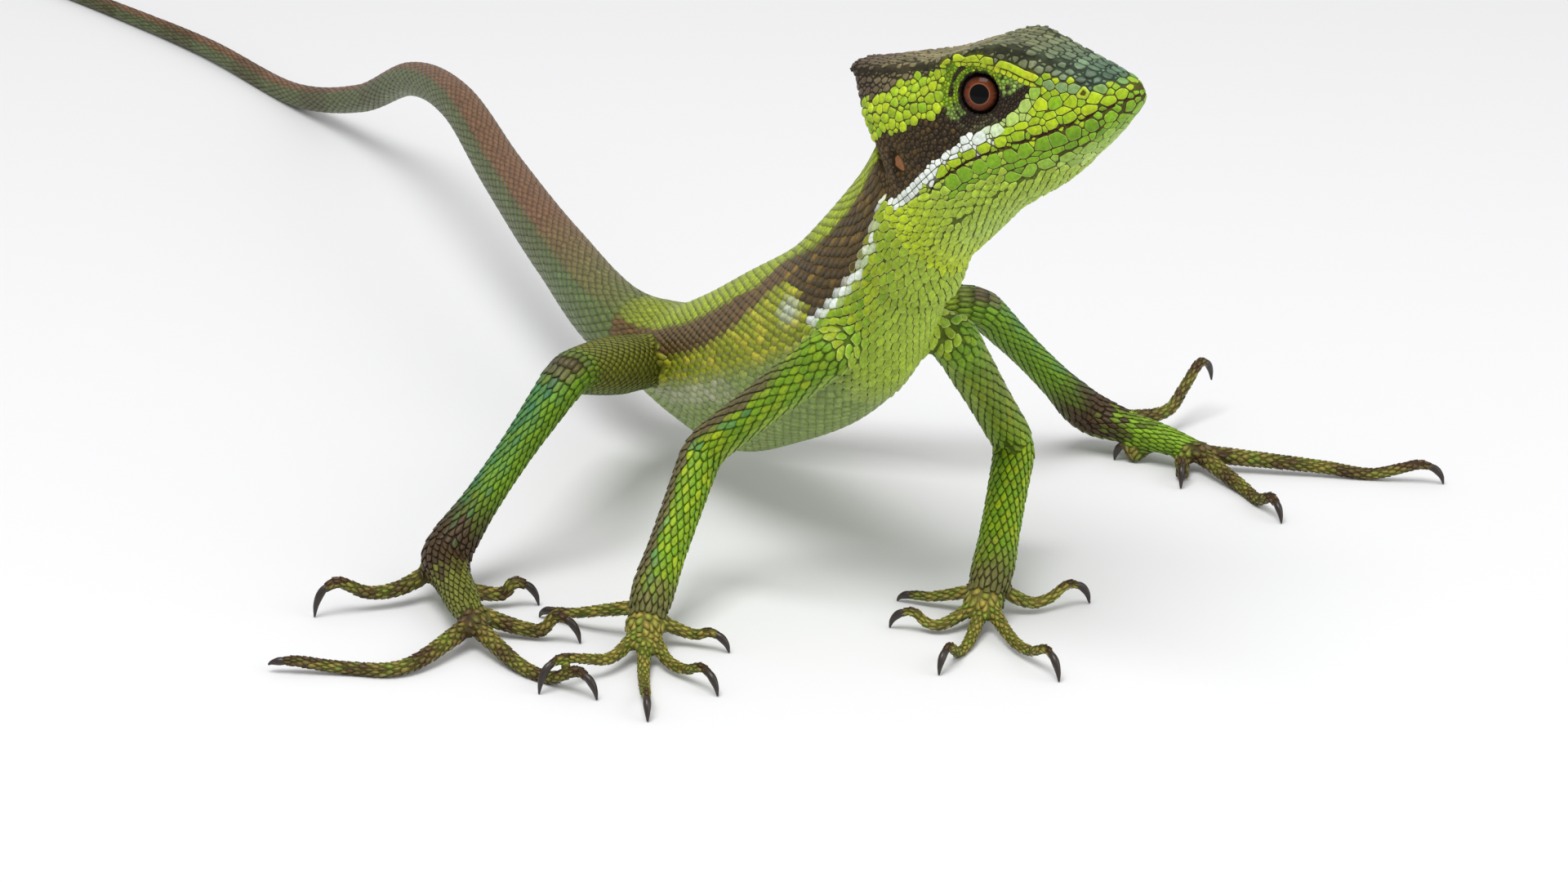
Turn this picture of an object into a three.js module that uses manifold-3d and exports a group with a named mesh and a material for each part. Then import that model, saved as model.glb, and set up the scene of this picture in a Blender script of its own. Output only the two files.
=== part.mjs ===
// Casquehead iguana standing with its chest raised, life size.
// Millimetres. +X is forward along the trunk, +Y is the animal's left, +Z is up, the floor is z = 0.
import * as THREE from "three";
import { mergeVertices } from "three/addons/utils/BufferGeometryUtils.js";
import Module from "manifold-3d";

const wasm = await Module();
wasm.setup();

// Driving dimensions

// Clear space between neighbouring nodes.
const GAP = 0.3;

// Trunk: the pelvis stands over x = 0, y = 0.
const HIP_HEIGHT = 15.2;
const HIP_HALF_WIDTH = 6.6;
const TRUNK_LENGTH = 61.2;
const TRUNK_PITCH = 20.6;
const SHOULDER_HALF_WIDTH = 6.4;

// Head: carried to the left and raised, measured along the line of the mouth.
const SNOUT_TIP = new THREE.Vector3(90.6, 13.2, 73.7);
const HEAD_TURN = 25.1;
const HEAD_PITCH = 31.1;
const MOUTH_CORNER = 29.5;
const MOUTH_BOW = 1.3;
const CASQUE_END = 36.4;
const NAPE_BACK = 36.8;
const NAPE_HEIGHT = 9;
const NECK_BORDER_SLOPE = 0.2;
const EYE_BACK = 18.2;
const EYE_HEIGHT = 7.9;
const EYE_SIDE = 3.7;
const EYE_RADIUS = 3.0;
const EYE_TURN = 20;
const EYE_SUNK = 0.25;
const LID_RADIUS = 3.7;
const LID_OPENING = 2.15;
const NOSTRIL_BACK = 5.0;
const NOSTRIL_HEIGHT = 2.8;
const NOSTRIL_SIDE = 4.3;
const NOSTRIL_RADIUS = 0.42;
const NOSTRIL_DEPTH = 1.1;
const EAR_BACK = 32.4;
const EAR_HEIGHT = 4.7;
const EAR_SIDE = 7.0;

// Limbs: the two sides share their lengths and differ in pose.
const UPPER_ARM_LENGTH = 26.8;
const FOREARM_LENGTH = 20.4;
const WRIST_TO_PALM = 5.5;
const THIGH_LENGTH = 36.6;
const SHANK_LENGTH = 28.6;
const ANKLE_TO_TOES = 16.7;
const UPPER_ARM_RADIUS = 2.85;
const ELBOW_RADIUS = 2.65;
const FOREARM_RADIUS = 2.5;
const WRIST_RADIUS = 2.6;
const THIGH_RADIUS = 4.2;
const KNEE_RADIUS = 3.0;
const SHANK_RADIUS = 2.3;
const ANKLE_RADIUS = 3.05;
const ARM_OVAL = [1.04, 1];
const LEG_OVAL = [1.06, 0.94];
const PALM_RADIUS = 2.7;
const BALL_RADIUS = 2.0;

// Digits and claws.
const FINGER_RADIUS = 0.85;
const TOE_RADIUS = 1.0;
const CLAW_RADIUS = 0.5;
const CLAW_LENGTH = 3.4;
const CLAW_TIP_RADIUS = 0.12;
const FLOOR_SINK = 0.12;

// Tail: raised behind the pelvis, then laid on the floor in a gentle bend.
const TAIL_ROOT_RADIUS = 5.6;
const TAIL_TIP_RADIUS = 0.55;
const TAIL_CREST = 23;
const TAIL_LANDING = 182;
const TAIL_REACH = 398;
const TAIL_BEND_START = 17;
const TAIL_BEND_END = -7;
const TAIL_PARTS = 6;
const TAIL_ROOT_SHARE = 0.036;

// Facets round a section.
const BODY_SIDES = 24;
const LIMB_SIDES = 12;
const DIGIT_SIDES = 7;
const CLAW_SIDES = 5;
const TAIL_SIDES = 12;

// Facets flatter than this are merged.
const FACET_TOLERANCE = 0.03;

const GREEN = 0x86ab1e;
const EYE_BROWN = 0x5c2f1c;

// Materials

const skinMaterial = new THREE.MeshStandardMaterial({ color: GREEN, roughness: 0.6, metalness: 0 });
const eyeMaterial = new THREE.MeshStandardMaterial({ color: EYE_BROWN, roughness: 0.12, metalness: 0 });

// Small tools

const radians = THREE.MathUtils.degToRad;

function at(x, y, z) {
  return new THREE.Vector3(x, y, z);
}

// Unit vector of a bearing in the floor plane and a rise above it, in degrees.
function heading(bearing, rise) {
  const flat = Math.cos(radians(rise));
  return at(flat * Math.cos(radians(bearing)), flat * Math.sin(radians(bearing)), Math.sin(radians(rise)));
}

function beyond(point, bearing, rise, distance) {
  return point.clone().addScaledVector(heading(bearing, rise), distance);
}

// Smooth value of a field of a table at a place along it.
function along(table, key, field, place) {
  let i = 0;
  while (i < table.length - 2 && table[i + 1][key] < place) {
    i += 1;
  }
  const row = (n) => table[Math.min(Math.max(n, 0), table.length - 1)];
  const slope = (n) => {
    const run = row(n + 1)[key] - row(n - 1)[key];
    return run === 0 ? 0 : (row(n + 1)[field] - row(n - 1)[field]) / run;
  };
  const span = row(i + 1)[key] - row(i)[key];
  const t = THREE.MathUtils.clamp((place - row(i)[key]) / span, 0, 1);
  const a = row(i)[field];
  const b = row(i + 1)[field];
  const rise = (1 - t) * (1 - t) * (a * (1 + 2 * t) + slope(i) * span * t);
  return rise + t * t * (b * (3 - 2 * t) - slope(i + 1) * span * (1 - t));
}

// Solids and cuts

function solidOf(geometry) {
  const bare = geometry.index ? geometry.toNonIndexed() : geometry.clone();
  bare.deleteAttribute("normal");
  bare.deleteAttribute("uv");
  const merged = mergeVertices(bare, 1e-4);
  return new wasm.Manifold(
    new wasm.Mesh({
      numProp: 3,
      vertProperties: Float32Array.from(merged.attributes.position.array),
      triVerts: Uint32Array.from(merged.index.array),
    }),
  );
}

function joined(solids) {
  return wasm.Manifold.union(solids);
}

// The part of a solid that lies beyond a point in a direction.
function keepBeyond(solid, point, direction) {
  const n = direction.clone().normalize();
  return solid.trimByPlane([n.x, n.y, n.z], n.dot(point));
}

function keepBefore(solid, point, direction) {
  return keepBeyond(solid, point, direction.clone().negate());
}

// Both sides of a thin cut across a solid.
function parted(solid, point, direction) {
  const half = direction.clone().normalize().multiplyScalar(GAP / 2);
  return [
    keepBefore(solid, point.clone().sub(half), direction),
    keepBeyond(solid, point.clone().add(half), direction),
  ];
}

function onFloor(solid) {
  return solid.trimByPlane([0, 0, 1], 0);
}

// Closed skin over a row of rings that all have the same number of points.
function loft(rings) {
  const n = rings[0].length;
  const points = rings.flat();
  const faces = [];
  for (let r = 0; r + 1 < rings.length; r += 1) {
    for (let i = 0; i < n; i += 1) {
      const j = (i + 1) % n;
      const a = r * n + i;
      const b = r * n + j;
      faces.push(a, b, b + n);
      faces.push(a, b + n, a + n);
    }
  }
  const last = (rings.length - 1) * n;
  for (const [start, flip] of [[0, true], [last, false]]) {
    const centre = at(0, 0, 0);
    for (let i = 0; i < n; i += 1) {
      centre.addScaledVector(points[start + i], 1 / n);
    }
    points.push(centre);
    for (let i = 0; i < n; i += 1) {
      const j = (i + 1) % n;
      if (flip) {
        faces.push(points.length - 1, start + j, start + i);
      } else {
        faces.push(points.length - 1, start + i, start + j);
      }
    }
  }
  const made = new THREE.BufferGeometry().setFromPoints(points);
  made.setIndex(faces);
  const solid = solidOf(made);
  if (solid.volume() >= 0) {
    return solid;
  }
  const turned = [];
  for (let i = 0; i < faces.length; i += 3) {
    turned.push(faces[i], faces[i + 2], faces[i + 1]);
  }
  made.setIndex(turned);
  return solidOf(made);
}

// Oval section: width across, rise above and drop below its centre.
function ovalRing(centre, forward, up, width, rise, drop, sides) {
  const side = new THREE.Vector3().crossVectors(up, forward).normalize();
  const top = new THREE.Vector3().crossVectors(forward, side).normalize();
  const ring = [];
  for (let i = 0; i < sides; i += 1) {
    const turn = (2 * Math.PI * (i + 0.5)) / sides;
    const high = Math.sin(turn);
    const point = centre.clone().addScaledVector(side, width * Math.cos(turn));
    ring.push(point.addScaledVector(top, high > 0 ? rise * high : drop * high));
  }
  return ring;
}

// Tube round a curve; size(t) gives its width, rise and drop at the share t of its length.
function tube(curve, steps, sides, up, size) {
  const rings = [];
  for (let i = 0; i <= steps; i += 1) {
    const t = i / steps;
    const s = size(t);
    rings.push(ovalRing(curve.getPointAt(t), curve.getTangentAt(t), up, s.width, s.rise, s.drop, sides));
  }
  return loft(rings);
}

// Straight lengths with rounded corners.
function bentPath(points, corner) {
  const path = new THREE.CurvePath();
  let from = points[0];
  for (let i = 1; i + 1 < points.length; i += 1) {
    const into = points[i].clone().sub(points[i - 1]).normalize();
    const out = points[i + 1].clone().sub(points[i]).normalize();
    const start = points[i].clone().addScaledVector(into, -corner);
    const end = points[i].clone().addScaledVector(out, corner);
    path.add(new THREE.LineCurve3(from, start));
    path.add(new THREE.QuadraticBezierCurve3(start, points[i], end));
    from = end;
  }
  path.add(new THREE.LineCurve3(from, points[points.length - 1]));
  return path;
}

// Trunk, neck and tail

const TRUNK_FORWARD = heading(0, TRUNK_PITCH);
const TRUNK_UP = heading(180, 90 - TRUNK_PITCH);

function trunkPoint(share, side, height) {
  const point = at(0, 0, HIP_HEIGHT).addScaledVector(TRUNK_FORWARD, share * TRUNK_LENGTH);
  return point.addScaledVector(TRUNK_UP, height).add(at(0, side, 0));
}

// Sections of the trunk and neck: place, direction, width, rise above and drop below the centre.
const TRUNK_SECTIONS = [
  { x: -9, y: -1.6, z: 15.4, rise: 5.2, drop: 6.6, width: 5.7, pitch: 8 },
  { x: 0, y: 0, z: 16.0, rise: 6.2, drop: 10.2, width: 7.0, pitch: 14 },
  { x: 12, y: 0, z: 20.0, rise: 7.6, drop: 14.2, width: 8.2, pitch: 20 },
  { x: 26, y: 0, z: 26.0, rise: 9.2, drop: 14.4, width: 9.2, pitch: 22 },
  { x: 40, y: 0, z: 32.6, rise: 10.4, drop: 13.6, width: 8.8, pitch: 25 },
  { x: 50, y: 0, z: 39.0, rise: 11.6, drop: 11.6, width: 8.0, pitch: 34 },
  { x: 56.5, y: 0.2, z: 46.0, rise: 11.0, drop: 8.6, width: 6.9, pitch: 47 },
  { x: 60, y: 0.6, z: 52.4, rise: 9.4, drop: 7.2, width: 6.3, pitch: 57 },
  { x: 61.6, y: 1.4, z: 58.4, rise: 7.7, drop: 6.8, width: 6.0, pitch: 62 },
];

function trunkRings() {
  const rings = [];
  const steps = 22;
  const last = TRUNK_SECTIONS.length - 1;
  const rows = TRUNK_SECTIONS.map((row, n) => ({ ...row, n }));
  for (let i = 0; i <= steps; i += 1) {
    const n = (last * i) / steps;
    const value = (field) => along(rows, "n", field, n);
    const centre = at(value("x"), value("y"), value("z"));
    const forward = heading(0, value("pitch"));
    const up = heading(180, 90 - value("pitch"));
    rings.push(ovalRing(centre, forward, up, value("width"), value("rise"), value("drop"), BODY_SIDES));
  }
  return rings;
}

// Loose skin of the throat, from under the jaws to the fold in front of the chest.
const THROAT_LINE = [
  at(74.2, 5.5, 61.1),
  at(68.9, 3.0, 57.4),
  at(64.1, 1.0, 54.2),
  at(60.6, 0.8, 50.8),
  at(56.8, 0.2, 45.6),
];
const THROAT_ROWS = [
  { t: 0, width: 4.6, rise: 2, drop: 3.6 },
  { t: 0.28, width: 6.1, rise: 4, drop: 5.9 },
  { t: 0.52, width: 6.6, rise: 5.5, drop: 7.0 },
  { t: 0.72, width: 6.8, rise: 6, drop: 8.0 },
  { t: 0.94, width: 6.8, rise: 6, drop: 8.8 },
  { t: 1, width: 6.2, rise: 5, drop: 7.6 },
];

function throat() {
  const line = new THREE.CatmullRomCurve3(THROAT_LINE, false, "centripetal");
  const size = (t) => {
    const value = (field) => along(THROAT_ROWS, "t", field, t);
    return { width: value("width"), rise: value("rise"), drop: value("drop") };
  };
  return tube(line, 14, BODY_SIDES, at(0, 0, 1), size);
}

const NECK_BASE = at(56.5, 0.2, 46.0);
const NECK_BASE_FORWARD = heading(0, 47);

// Centre line of the tail from inside the pelvis to the tip: held up first, then along the floor.
function tailCurve() {
  const points = [
    at(2, 0, 16),
    at(-13, -3, 15.6),
    at(-40, 0.3, 17.5),
    at(-71.5, 5.8, 20.2),
    at(-100, 11.2, TAIL_CREST),
    at(-127, 15.5, 19.2),
    at(-154, 17.5, 8.6),
  ];
  const laidPoints = 6;
  for (let i = 0; i <= laidPoints; i += 1) {
    const t = i / laidPoints;
    const x = THREE.MathUtils.lerp(-TAIL_LANDING, -TAIL_REACH, t);
    const swing = (1 - Math.cos(Math.PI * Math.min(1, t * 1.15))) / 2;
    const y = THREE.MathUtils.lerp(TAIL_BEND_START, TAIL_BEND_END, swing);
    const radius = along(TAIL_SIZES, "t", "r", THREE.MathUtils.lerp(0.45, 1, t));
    points.push(at(x, y, radius * TAIL_DEPTH - FLOOR_SINK));
  }
  return new THREE.CatmullRomCurve3(points, false, "centripetal");
}

// Radius of the tail along its length, and how much deeper than wide it is.
const TAIL_SIZES = [
  { t: 0, r: TAIL_ROOT_RADIUS },
  { t: 0.04, r: 5.3 },
  { t: 0.1, r: 4.5 },
  { t: 0.18, r: 3.7 },
  { t: 0.26, r: 3.1 },
  { t: 0.4, r: 2.3 },
  { t: 0.6, r: 1.6 },
  { t: 0.8, r: 1.05 },
  { t: 1, r: TAIL_TIP_RADIUS },
];
const TAIL_DEPTH = 1.05;

function tailSolid(curve) {
  const size = (t) => {
    const r = along(TAIL_SIZES, "t", "r", t);
    return { width: r * 0.95, rise: r * TAIL_DEPTH, drop: r * TAIL_DEPTH };
  };
  return onFloor(tube(curve, 48, TAIL_SIDES, at(0, 0, 1), size));
}

// The tail in lengths, the first of which grows from the pelvis.
function tailLengths() {
  const curve = tailCurve();
  const whole = tailSolid(curve);
  const lengths = [];
  let rest = whole;
  for (let i = 0; i < TAIL_PARTS; i += 1) {
    const share = TAIL_ROOT_SHARE + ((1 - TAIL_ROOT_SHARE) * i) / TAIL_PARTS;
    const [near, far] = parted(rest, curve.getPointAt(share), curve.getTangentAt(share));
    lengths.push(near);
    rest = far;
  }
  lengths.push(rest);
  return lengths;
}

// Limbs

function limbSize(rows, [wide, deep] = [1, 1.04]) {
  return (t) => {
    const r = along(rows, "t", "r", t);
    return { width: r * wide, rise: r * deep, drop: r * deep };
  };
}

// Upper limb, lower limb and the end that carries the digits, with the stub that stays on the trunk,
// the room that the free limb needs beside the trunk and the room of the lower limb beside the digits.
function limbLengths(points, rows, oval, steps, stub, corner) {
  const path = bentPath(points, corner);
  const upright = at(0.05, 0, 1);
  const whole = tube(path, steps, LIMB_SIDES, upright, limbSize(rows, oval));
  const wider = rows.map(({ t, r }) => ({ t, r: r + GAP }));
  const [root, joint, end] = points;
  const first = joint.clone().sub(root).normalize();
  const second = end.clone().sub(joint).normalize();
  const last = points[3].clone().sub(end).normalize();
  const border = root.clone().addScaledVector(first, stub);
  const [onTrunk, out] = parted(whole, border, first);
  const [upper, beyondJoint] = parted(out, joint, first.clone().add(second));
  const [lower, tip] = parted(beyondJoint, end, second.clone().add(last));
  const wide = tube(path, steps, LIMB_SIDES, upright, limbSize(wider, oval));
  const turn = second.clone().add(last).normalize();
  const room = keepBeyond(wide, border.clone().addScaledVector(first, -GAP / 2), first);
  const lowerRoom = keepBefore(wide, end.clone().addScaledVector(turn, GAP / 2), turn);
  return { onTrunk, upper, lower, tip, room, lowerRoom };
}

// Point at a reach and bearing from a centre, at a height above the floor.
function polar(centre, reach, bearing, height) {
  return at(
    centre.x + reach * Math.cos(radians(bearing)),
    centre.y + reach * Math.sin(radians(bearing)),
    height,
  );
}

// One digit: from the hand or foot down to the floor, up over the last joint and down in a claw.
function digit(root, centre, row, radius) {
  const [midReach, midBearing] = row.mid;
  const [endReach, endBearing] = row.end;
  const mid = polar(centre, midReach, midBearing, radius - FLOOR_SINK + row.arch);
  const tip = polar(centre, endReach, endBearing, CLAW_TIP_RADIUS + (row.tipRise ?? 0));
  const out = tip.clone().sub(mid).setZ(0);
  const length = out.length();
  out.normalize();
  const claw = Math.min(CLAW_LENGTH, length * 0.6);
  const spot = (back, share) => {
    const height = THREE.MathUtils.lerp(tip.z, row.lift, share);
    return tip.clone().addScaledVector(out, -claw * back).setZ(height);
  };
  const knuckle = spot(0.88, 1);
  const brink = spot(0.36, 0.8);
  const restHeight = radius - FLOOR_SINK + (row.tipRise ?? 0) + (row.rest ?? 0);
  const rest = mid.clone().lerp(knuckle, 0.5).setZ(restHeight);
  const toe = new THREE.CatmullRomCurve3([root, mid, rest, knuckle, brink], false, "centripetal");
  const toeRows = [
    { t: 0, r: radius * 1.3 },
    { t: 0.45, r: radius },
    { t: 0.8, r: radius * 0.84 },
    { t: 0.94, r: radius * 0.76 },
    { t: 1, r: radius * 0.5 },
  ];
  const flesh = tube(toe, 11, DIGIT_SIDES, at(0.02, 0.01, 1), limbSize(toeRows));
  const inside = spot(0.7, 0.95);
  const bend = spot(0.1, 0.42);
  const hook = new THREE.CatmullRomCurve3([inside, brink, bend, tip], false, "centripetal");
  const clawRows = [
    { t: 0, r: CLAW_RADIUS * 0.8 },
    { t: 0.4, r: CLAW_RADIUS },
    { t: 0.7, r: CLAW_RADIUS * 0.7 },
    { t: 1, r: CLAW_TIP_RADIUS },
  ];
  const nail = tube(hook, 5, CLAW_SIDES, at(0.02, 0.01, 1), limbSize(clawRows));
  return joined([flesh, nail]);
}

// A hand or foot: its flat middle and five digits, cut flat where it stands on the floor.
function spreadFoot(made, joint, centre, rows, radius, padRadius) {
  const digits = rows.map((row) => {
    const root = joint.clone().lerp(centre, row.root);
    return digit(root.setZ(Math.max(root.z * 0.9, 2.2)), centre, row, radius);
  });
  const pad = solidOf(new THREE.SphereGeometry(1, 10, 7))
    .scale([padRadius, padRadius, padRadius * 0.8])
    .translate([centre.x, centre.y, centre.z - 0.2]);
  return onFloor(joined([made.tip, pad, joined(digits).subtract(made.lowerRoom)]));
}

const ARM_ROWS = [
  { t: 0, r: UPPER_ARM_RADIUS * 0.4 },
  { t: 0.038, r: UPPER_ARM_RADIUS * 1.04 },
  { t: 0.08, r: UPPER_ARM_RADIUS * 1.2 },
  { t: 0.16, r: UPPER_ARM_RADIUS * 1.1 },
  { t: 0.3, r: UPPER_ARM_RADIUS * 0.96 },
  { t: 0.5, r: ELBOW_RADIUS },
  { t: 0.6, r: FOREARM_RADIUS },
  { t: 0.8, r: FOREARM_RADIUS * 0.97 },
  { t: 0.9, r: WRIST_RADIUS },
  { t: 0.96, r: WRIST_RADIUS * 0.88 },
  { t: 1, r: WRIST_RADIUS * 0.55 },
];

const LEG_ROWS = [
  { t: 0, r: THIGH_RADIUS * 0.4 },
  { t: 0.032, r: THIGH_RADIUS * 0.96 },
  { t: 0.065, r: THIGH_RADIUS * 1.02 },
  { t: 0.2, r: THIGH_RADIUS },
  { t: 0.34, r: THIGH_RADIUS * 0.86 },
  { t: 0.44, r: KNEE_RADIUS },
  { t: 0.51, r: SHANK_RADIUS * 1.14 },
  { t: 0.6, r: SHANK_RADIUS },
  { t: 0.7, r: SHANK_RADIUS * 1.06 },
  { t: 0.79, r: ANKLE_RADIUS },
  { t: 0.87, r: ANKLE_RADIUS * 0.76 },
  { t: 0.94, r: ANKLE_RADIUS * 0.68 },
  { t: 1, r: ANKLE_RADIUS * 0.46 },
];

// Bearing and rise of each length, then the digits: where each leaves the hand, its middle and its claw.
const ARMS = {
  right: {
    side: -1,
    upper: [-140.2, -41.6],
    lower: [-49.7, -37.4],
    palm: [-41.2, -36.3],
    digits: [
      { root: 0.7, mid: [5.6, 70], end: [10.4, 54.5], lift: 2.4, arch: 1.0, rest: 1.1 },
      { root: 0.9, mid: [7.4, -4], end: [16.9, 4.2], lift: 2.8, arch: 0.6, rest: 0.7 },
      { root: 1, mid: [9.6, -28], end: [21.6, -26], lift: 2.5, arch: 0 },
      { root: 0.9, mid: [8.4, -57.5], end: [18.4, -70.8], lift: 3.9, arch: 1.3, rest: 2.2 },
      { root: 0.4, mid: [9.3, -156.5], end: [16.8, -154.4], lift: 1.5, arch: 1.8, rest: 1.1 },
    ],
  },
  left: {
    side: 1,
    upper: [112.6, -53.2],
    lower: [-39.3, -27.3],
    palm: [-45.7, -31.3],
    digits: [
      { root: 0.6, mid: [7.3, -158], end: [12.6, -151], lift: 1.3, arch: 0.9, rest: 0.6 },
      { root: 0.9, mid: [6.6, -86], end: [11.9, -110], lift: 2.6, arch: 0.5, rest: 0.6 },
      { root: 1, mid: [8.6, -44], end: [17.4, -49], lift: 2.7, arch: 0 },
      { root: 0.9, mid: [9.6, -7], end: [20.1, -3.8], lift: 3.2, arch: 0.5, rest: 0.8 },
      { root: 0.4, mid: [6.6, 86], end: [14.9, 85.4], lift: 3.2, arch: 0.8, rest: 1.0 },
    ],
  },
};

const LEGS = {
  right: {
    side: -1,
    upper: [-42.2, 17.1],
    lower: [-83.9, -47.4],
    foot: [-11.1, -6.1],
    digits: [
      { root: 0.45, mid: [11.6, 143], end: [14.2, 120], lift: 3.4, arch: 1.0, rest: 1.0 },
      { root: 0.8, mid: [6.8, 76], end: [13.2, 62], lift: 3.5, arch: 0.4, rest: 0.5 },
      { root: 1, mid: [11.4, 8], end: [23.2, 15], lift: 3, arch: 0 },
      { root: 1, mid: [12.6, -69], end: [25.8, -99.2], lift: 1.6, arch: 0.2, rest: -0.9, tipRise: 0.9 },
      { root: 0.04, mid: [15.8, -167], end: [22.1, -140.5], lift: 4.4, arch: 1.5, rest: 1.6 },
    ],
  },
  left: {
    side: 1,
    upper: [42, 16.3],
    lower: [98.1, -45.4],
    foot: [32.7, -8.2],
    digits: [
      { root: 0.62, mid: [8.2, -138], end: [11.6, -136], lift: 2.6, arch: 0.6 },
      { root: 0.85, mid: [3.4, -70], end: [7.8, -50], lift: 3, arch: 0.3 },
      { root: 1, mid: [10.8, 2], end: [21.8, -3], lift: 2.6, arch: 0 },
      { root: 1, mid: [17, 53], end: [33.2, 52], lift: 2.7, arch: 0.5 },
      { root: 0.04, mid: [14.4, 164], end: [23, 142], lift: 8.2, arch: 2.4, tipRise: 4.6 },
    ],
  },
};

function arm(pose) {
  const shoulder = trunkPoint(1, pose.side * SHOULDER_HALF_WIDTH, 0);
  const elbow = beyond(shoulder, ...pose.upper, UPPER_ARM_LENGTH);
  const wrist = beyond(elbow, ...pose.lower, FOREARM_LENGTH);
  const palm = beyond(wrist, ...pose.palm, WRIST_TO_PALM);
  const made = limbLengths([shoulder, elbow, wrist, palm], ARM_ROWS, ARM_OVAL, 26, 6.2, 2.4);
  const hand = spreadFoot(made, wrist, palm, pose.digits, FINGER_RADIUS, PALM_RADIUS);
  return { stub: made.onTrunk, room: made.room, upper: made.upper, lower: made.lower, end: hand };
}

function leg(pose) {
  const hip = trunkPoint(0, pose.side * HIP_HALF_WIDTH, 0);
  const knee = beyond(hip, ...pose.upper, THIGH_LENGTH);
  const ankle = beyond(knee, ...pose.lower, SHANK_LENGTH);
  const ball = beyond(ankle, ...pose.foot, ANKLE_TO_TOES);
  const made = limbLengths([hip, knee, ankle, ball], LEG_ROWS, LEG_OVAL, 28, 5.4, 3);
  const foot = spreadFoot(made, ankle, ball, pose.digits, TOE_RADIUS, BALL_RADIUS);
  return { stub: made.onTrunk, room: made.room, upper: made.upper, lower: made.lower, end: foot };
}

// Head

const HEAD_FORWARD = heading(HEAD_TURN, HEAD_PITCH);
const HEAD_LEFT = heading(HEAD_TURN + 90, 0);
const HEAD_UP = new THREE.Vector3().crossVectors(HEAD_FORWARD, HEAD_LEFT);

// From head measures: back from the snout tip, to the left, above the line of the mouth.
const HEAD_FRAME = new THREE.Matrix4()
  .makeBasis(HEAD_FORWARD.clone().negate(), HEAD_LEFT.clone().negate(), HEAD_UP)
  .setPosition(SNOUT_TIP);

function inHead(solid) {
  return solid.transform(HEAD_FRAME.toArray());
}

// Half sections of the head: its middle line, the brow or casque edge, the cheek and lip, and the jaw.
const HEAD_SECTIONS = [
  { s: 0, top: 1.5, edge: [0.5, 1.4], cheek: [0.8, 0.8], lip: 0.9, jaw: [0.5, -0.5], chin: -0.6 },
  { s: 1.3, top: 2.7, edge: [1.6, 2.5], cheek: [2.2, 1.7], lip: 2.3, jaw: [1.7, -1.1], chin: -1.45 },
  { s: 3.7, top: 5.1, edge: [2.6, 4.7], cheek: [3.5, 2.9], lip: 3.8, jaw: [2.9, -1.7], chin: -2.5 },
  { s: 8, top: 9.0, edge: [3.7, 8.7], cheek: [4.6, 4.1], lip: 5.1, jaw: [4.4, -2.7], chin: -4.0 },
  { s: 12, top: 11.7, edge: [5.2, 12.1], cheek: [5.0, 5.6], lip: 5.9, jaw: [5.1, -3.2], chin: -5.0 },
  { s: 15.5, top: 12.7, edge: [6.2, 13.2], cheek: [5.4, 7.0], lip: 6.4, jaw: [5.6, -3.6], chin: -5.7 },
  { s: 20, top: 13.7, edge: [6.1, 13.8], cheek: [5.9, 7.6], lip: 6.9, jaw: [6.0, -4.0], chin: -6.0 },
  { s: 24, top: 14.5, edge: [5.2, 14.4], cheek: [6.6, 7.6], lip: 7.1, jaw: [6.2, -4.2], chin: -6.4 },
  { s: 28, top: 15.9, edge: [4.6, 15.6], cheek: [6.9, 7.2], lip: 7.2, jaw: [6.3, -5.0], chin: -7.6 },
  { s: 33, top: 17.5, edge: [3.7, 17.1], cheek: [6.1, 7.0], lip: 6.5, jaw: [5.9, -5.8], chin: -8.9 },
  { s: 35.6, top: 18.5, edge: [2.9, 18.1], cheek: [4.7, 6.8], lip: 5.7, jaw: [5.2, -6.0], chin: -9.3 },
  { s: CASQUE_END, top: 18.1, edge: [2.1, 17.7], cheek: [3.6, 6.5], lip: 4.6, jaw: [4, -5.6], chin: -8.2 },
];

function mouthHeight(s) {
  return MOUTH_BOW * Math.sin(Math.PI * THREE.MathUtils.clamp(s / MOUTH_CORNER, 0, 1) ** 2.36);
}

// Ring across the head: the right half from crown to chin, then the left half back up.
function headRing(s) {
  const value = (field) => along(HEAD_SECTIONS, "s", field, s);
  const pair = (field) => [0, 1].map((n) => {
    const rows = HEAD_SECTIONS.map((row) => ({ s: row.s, value: row[field][n] }));
    return along(rows, "s", "value", s);
  });
  const [top, lip, chin] = ["top", "lip", "chin"].map(value);
  const [edgeY, edgeZ] = pair("edge");
  const [sideY, sideZ] = pair("cheek");
  const [jawY, jawZ] = pair("jaw");
  const mouth = mouthHeight(s);
  const roll = Math.min(1, edgeZ * 0.09);
  const half = [
    [edgeY * 0.5, top + (edgeZ - top) * 0.3],
    [edgeY - 0.25 * roll, edgeZ],
    [edgeY, edgeZ - 0.5 * roll],
    [edgeY - 0.35 * roll, edgeZ - 1.2 * roll],
    [sideY * 0.94, sideZ + (edgeZ - sideZ) * 0.45],
    [sideY, sideZ],
    [(sideY + lip) / 2, mouth + (sideZ - mouth) * 0.55],
    [lip, mouth + Math.min(1, sideZ * 0.4)],
    [lip - 0.12, mouth],
    [lip - 0.05, mouth + Math.max(-1, jawZ * 0.5)],
    [jawY, jawZ],
    [jawY * 0.55, chin + (jawZ - chin) * 0.28],
  ];
  const right = half.map(([y, z]) => at(s, y, z));
  const left = half.map(([y, z]) => at(s, -y, z)).reverse();
  return [at(s, 0, top), ...right, at(s, 0, chin), ...left];
}

function headShell() {
  const places = [];
  HEAD_SECTIONS.forEach((row, i) => {
    const next = HEAD_SECTIONS[i + 1];
    places.push(row.s);
    if (next) {
      places.push((row.s + next.s) / 2);
    }
  });
  return loft(places.map(headRing));
}

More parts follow.
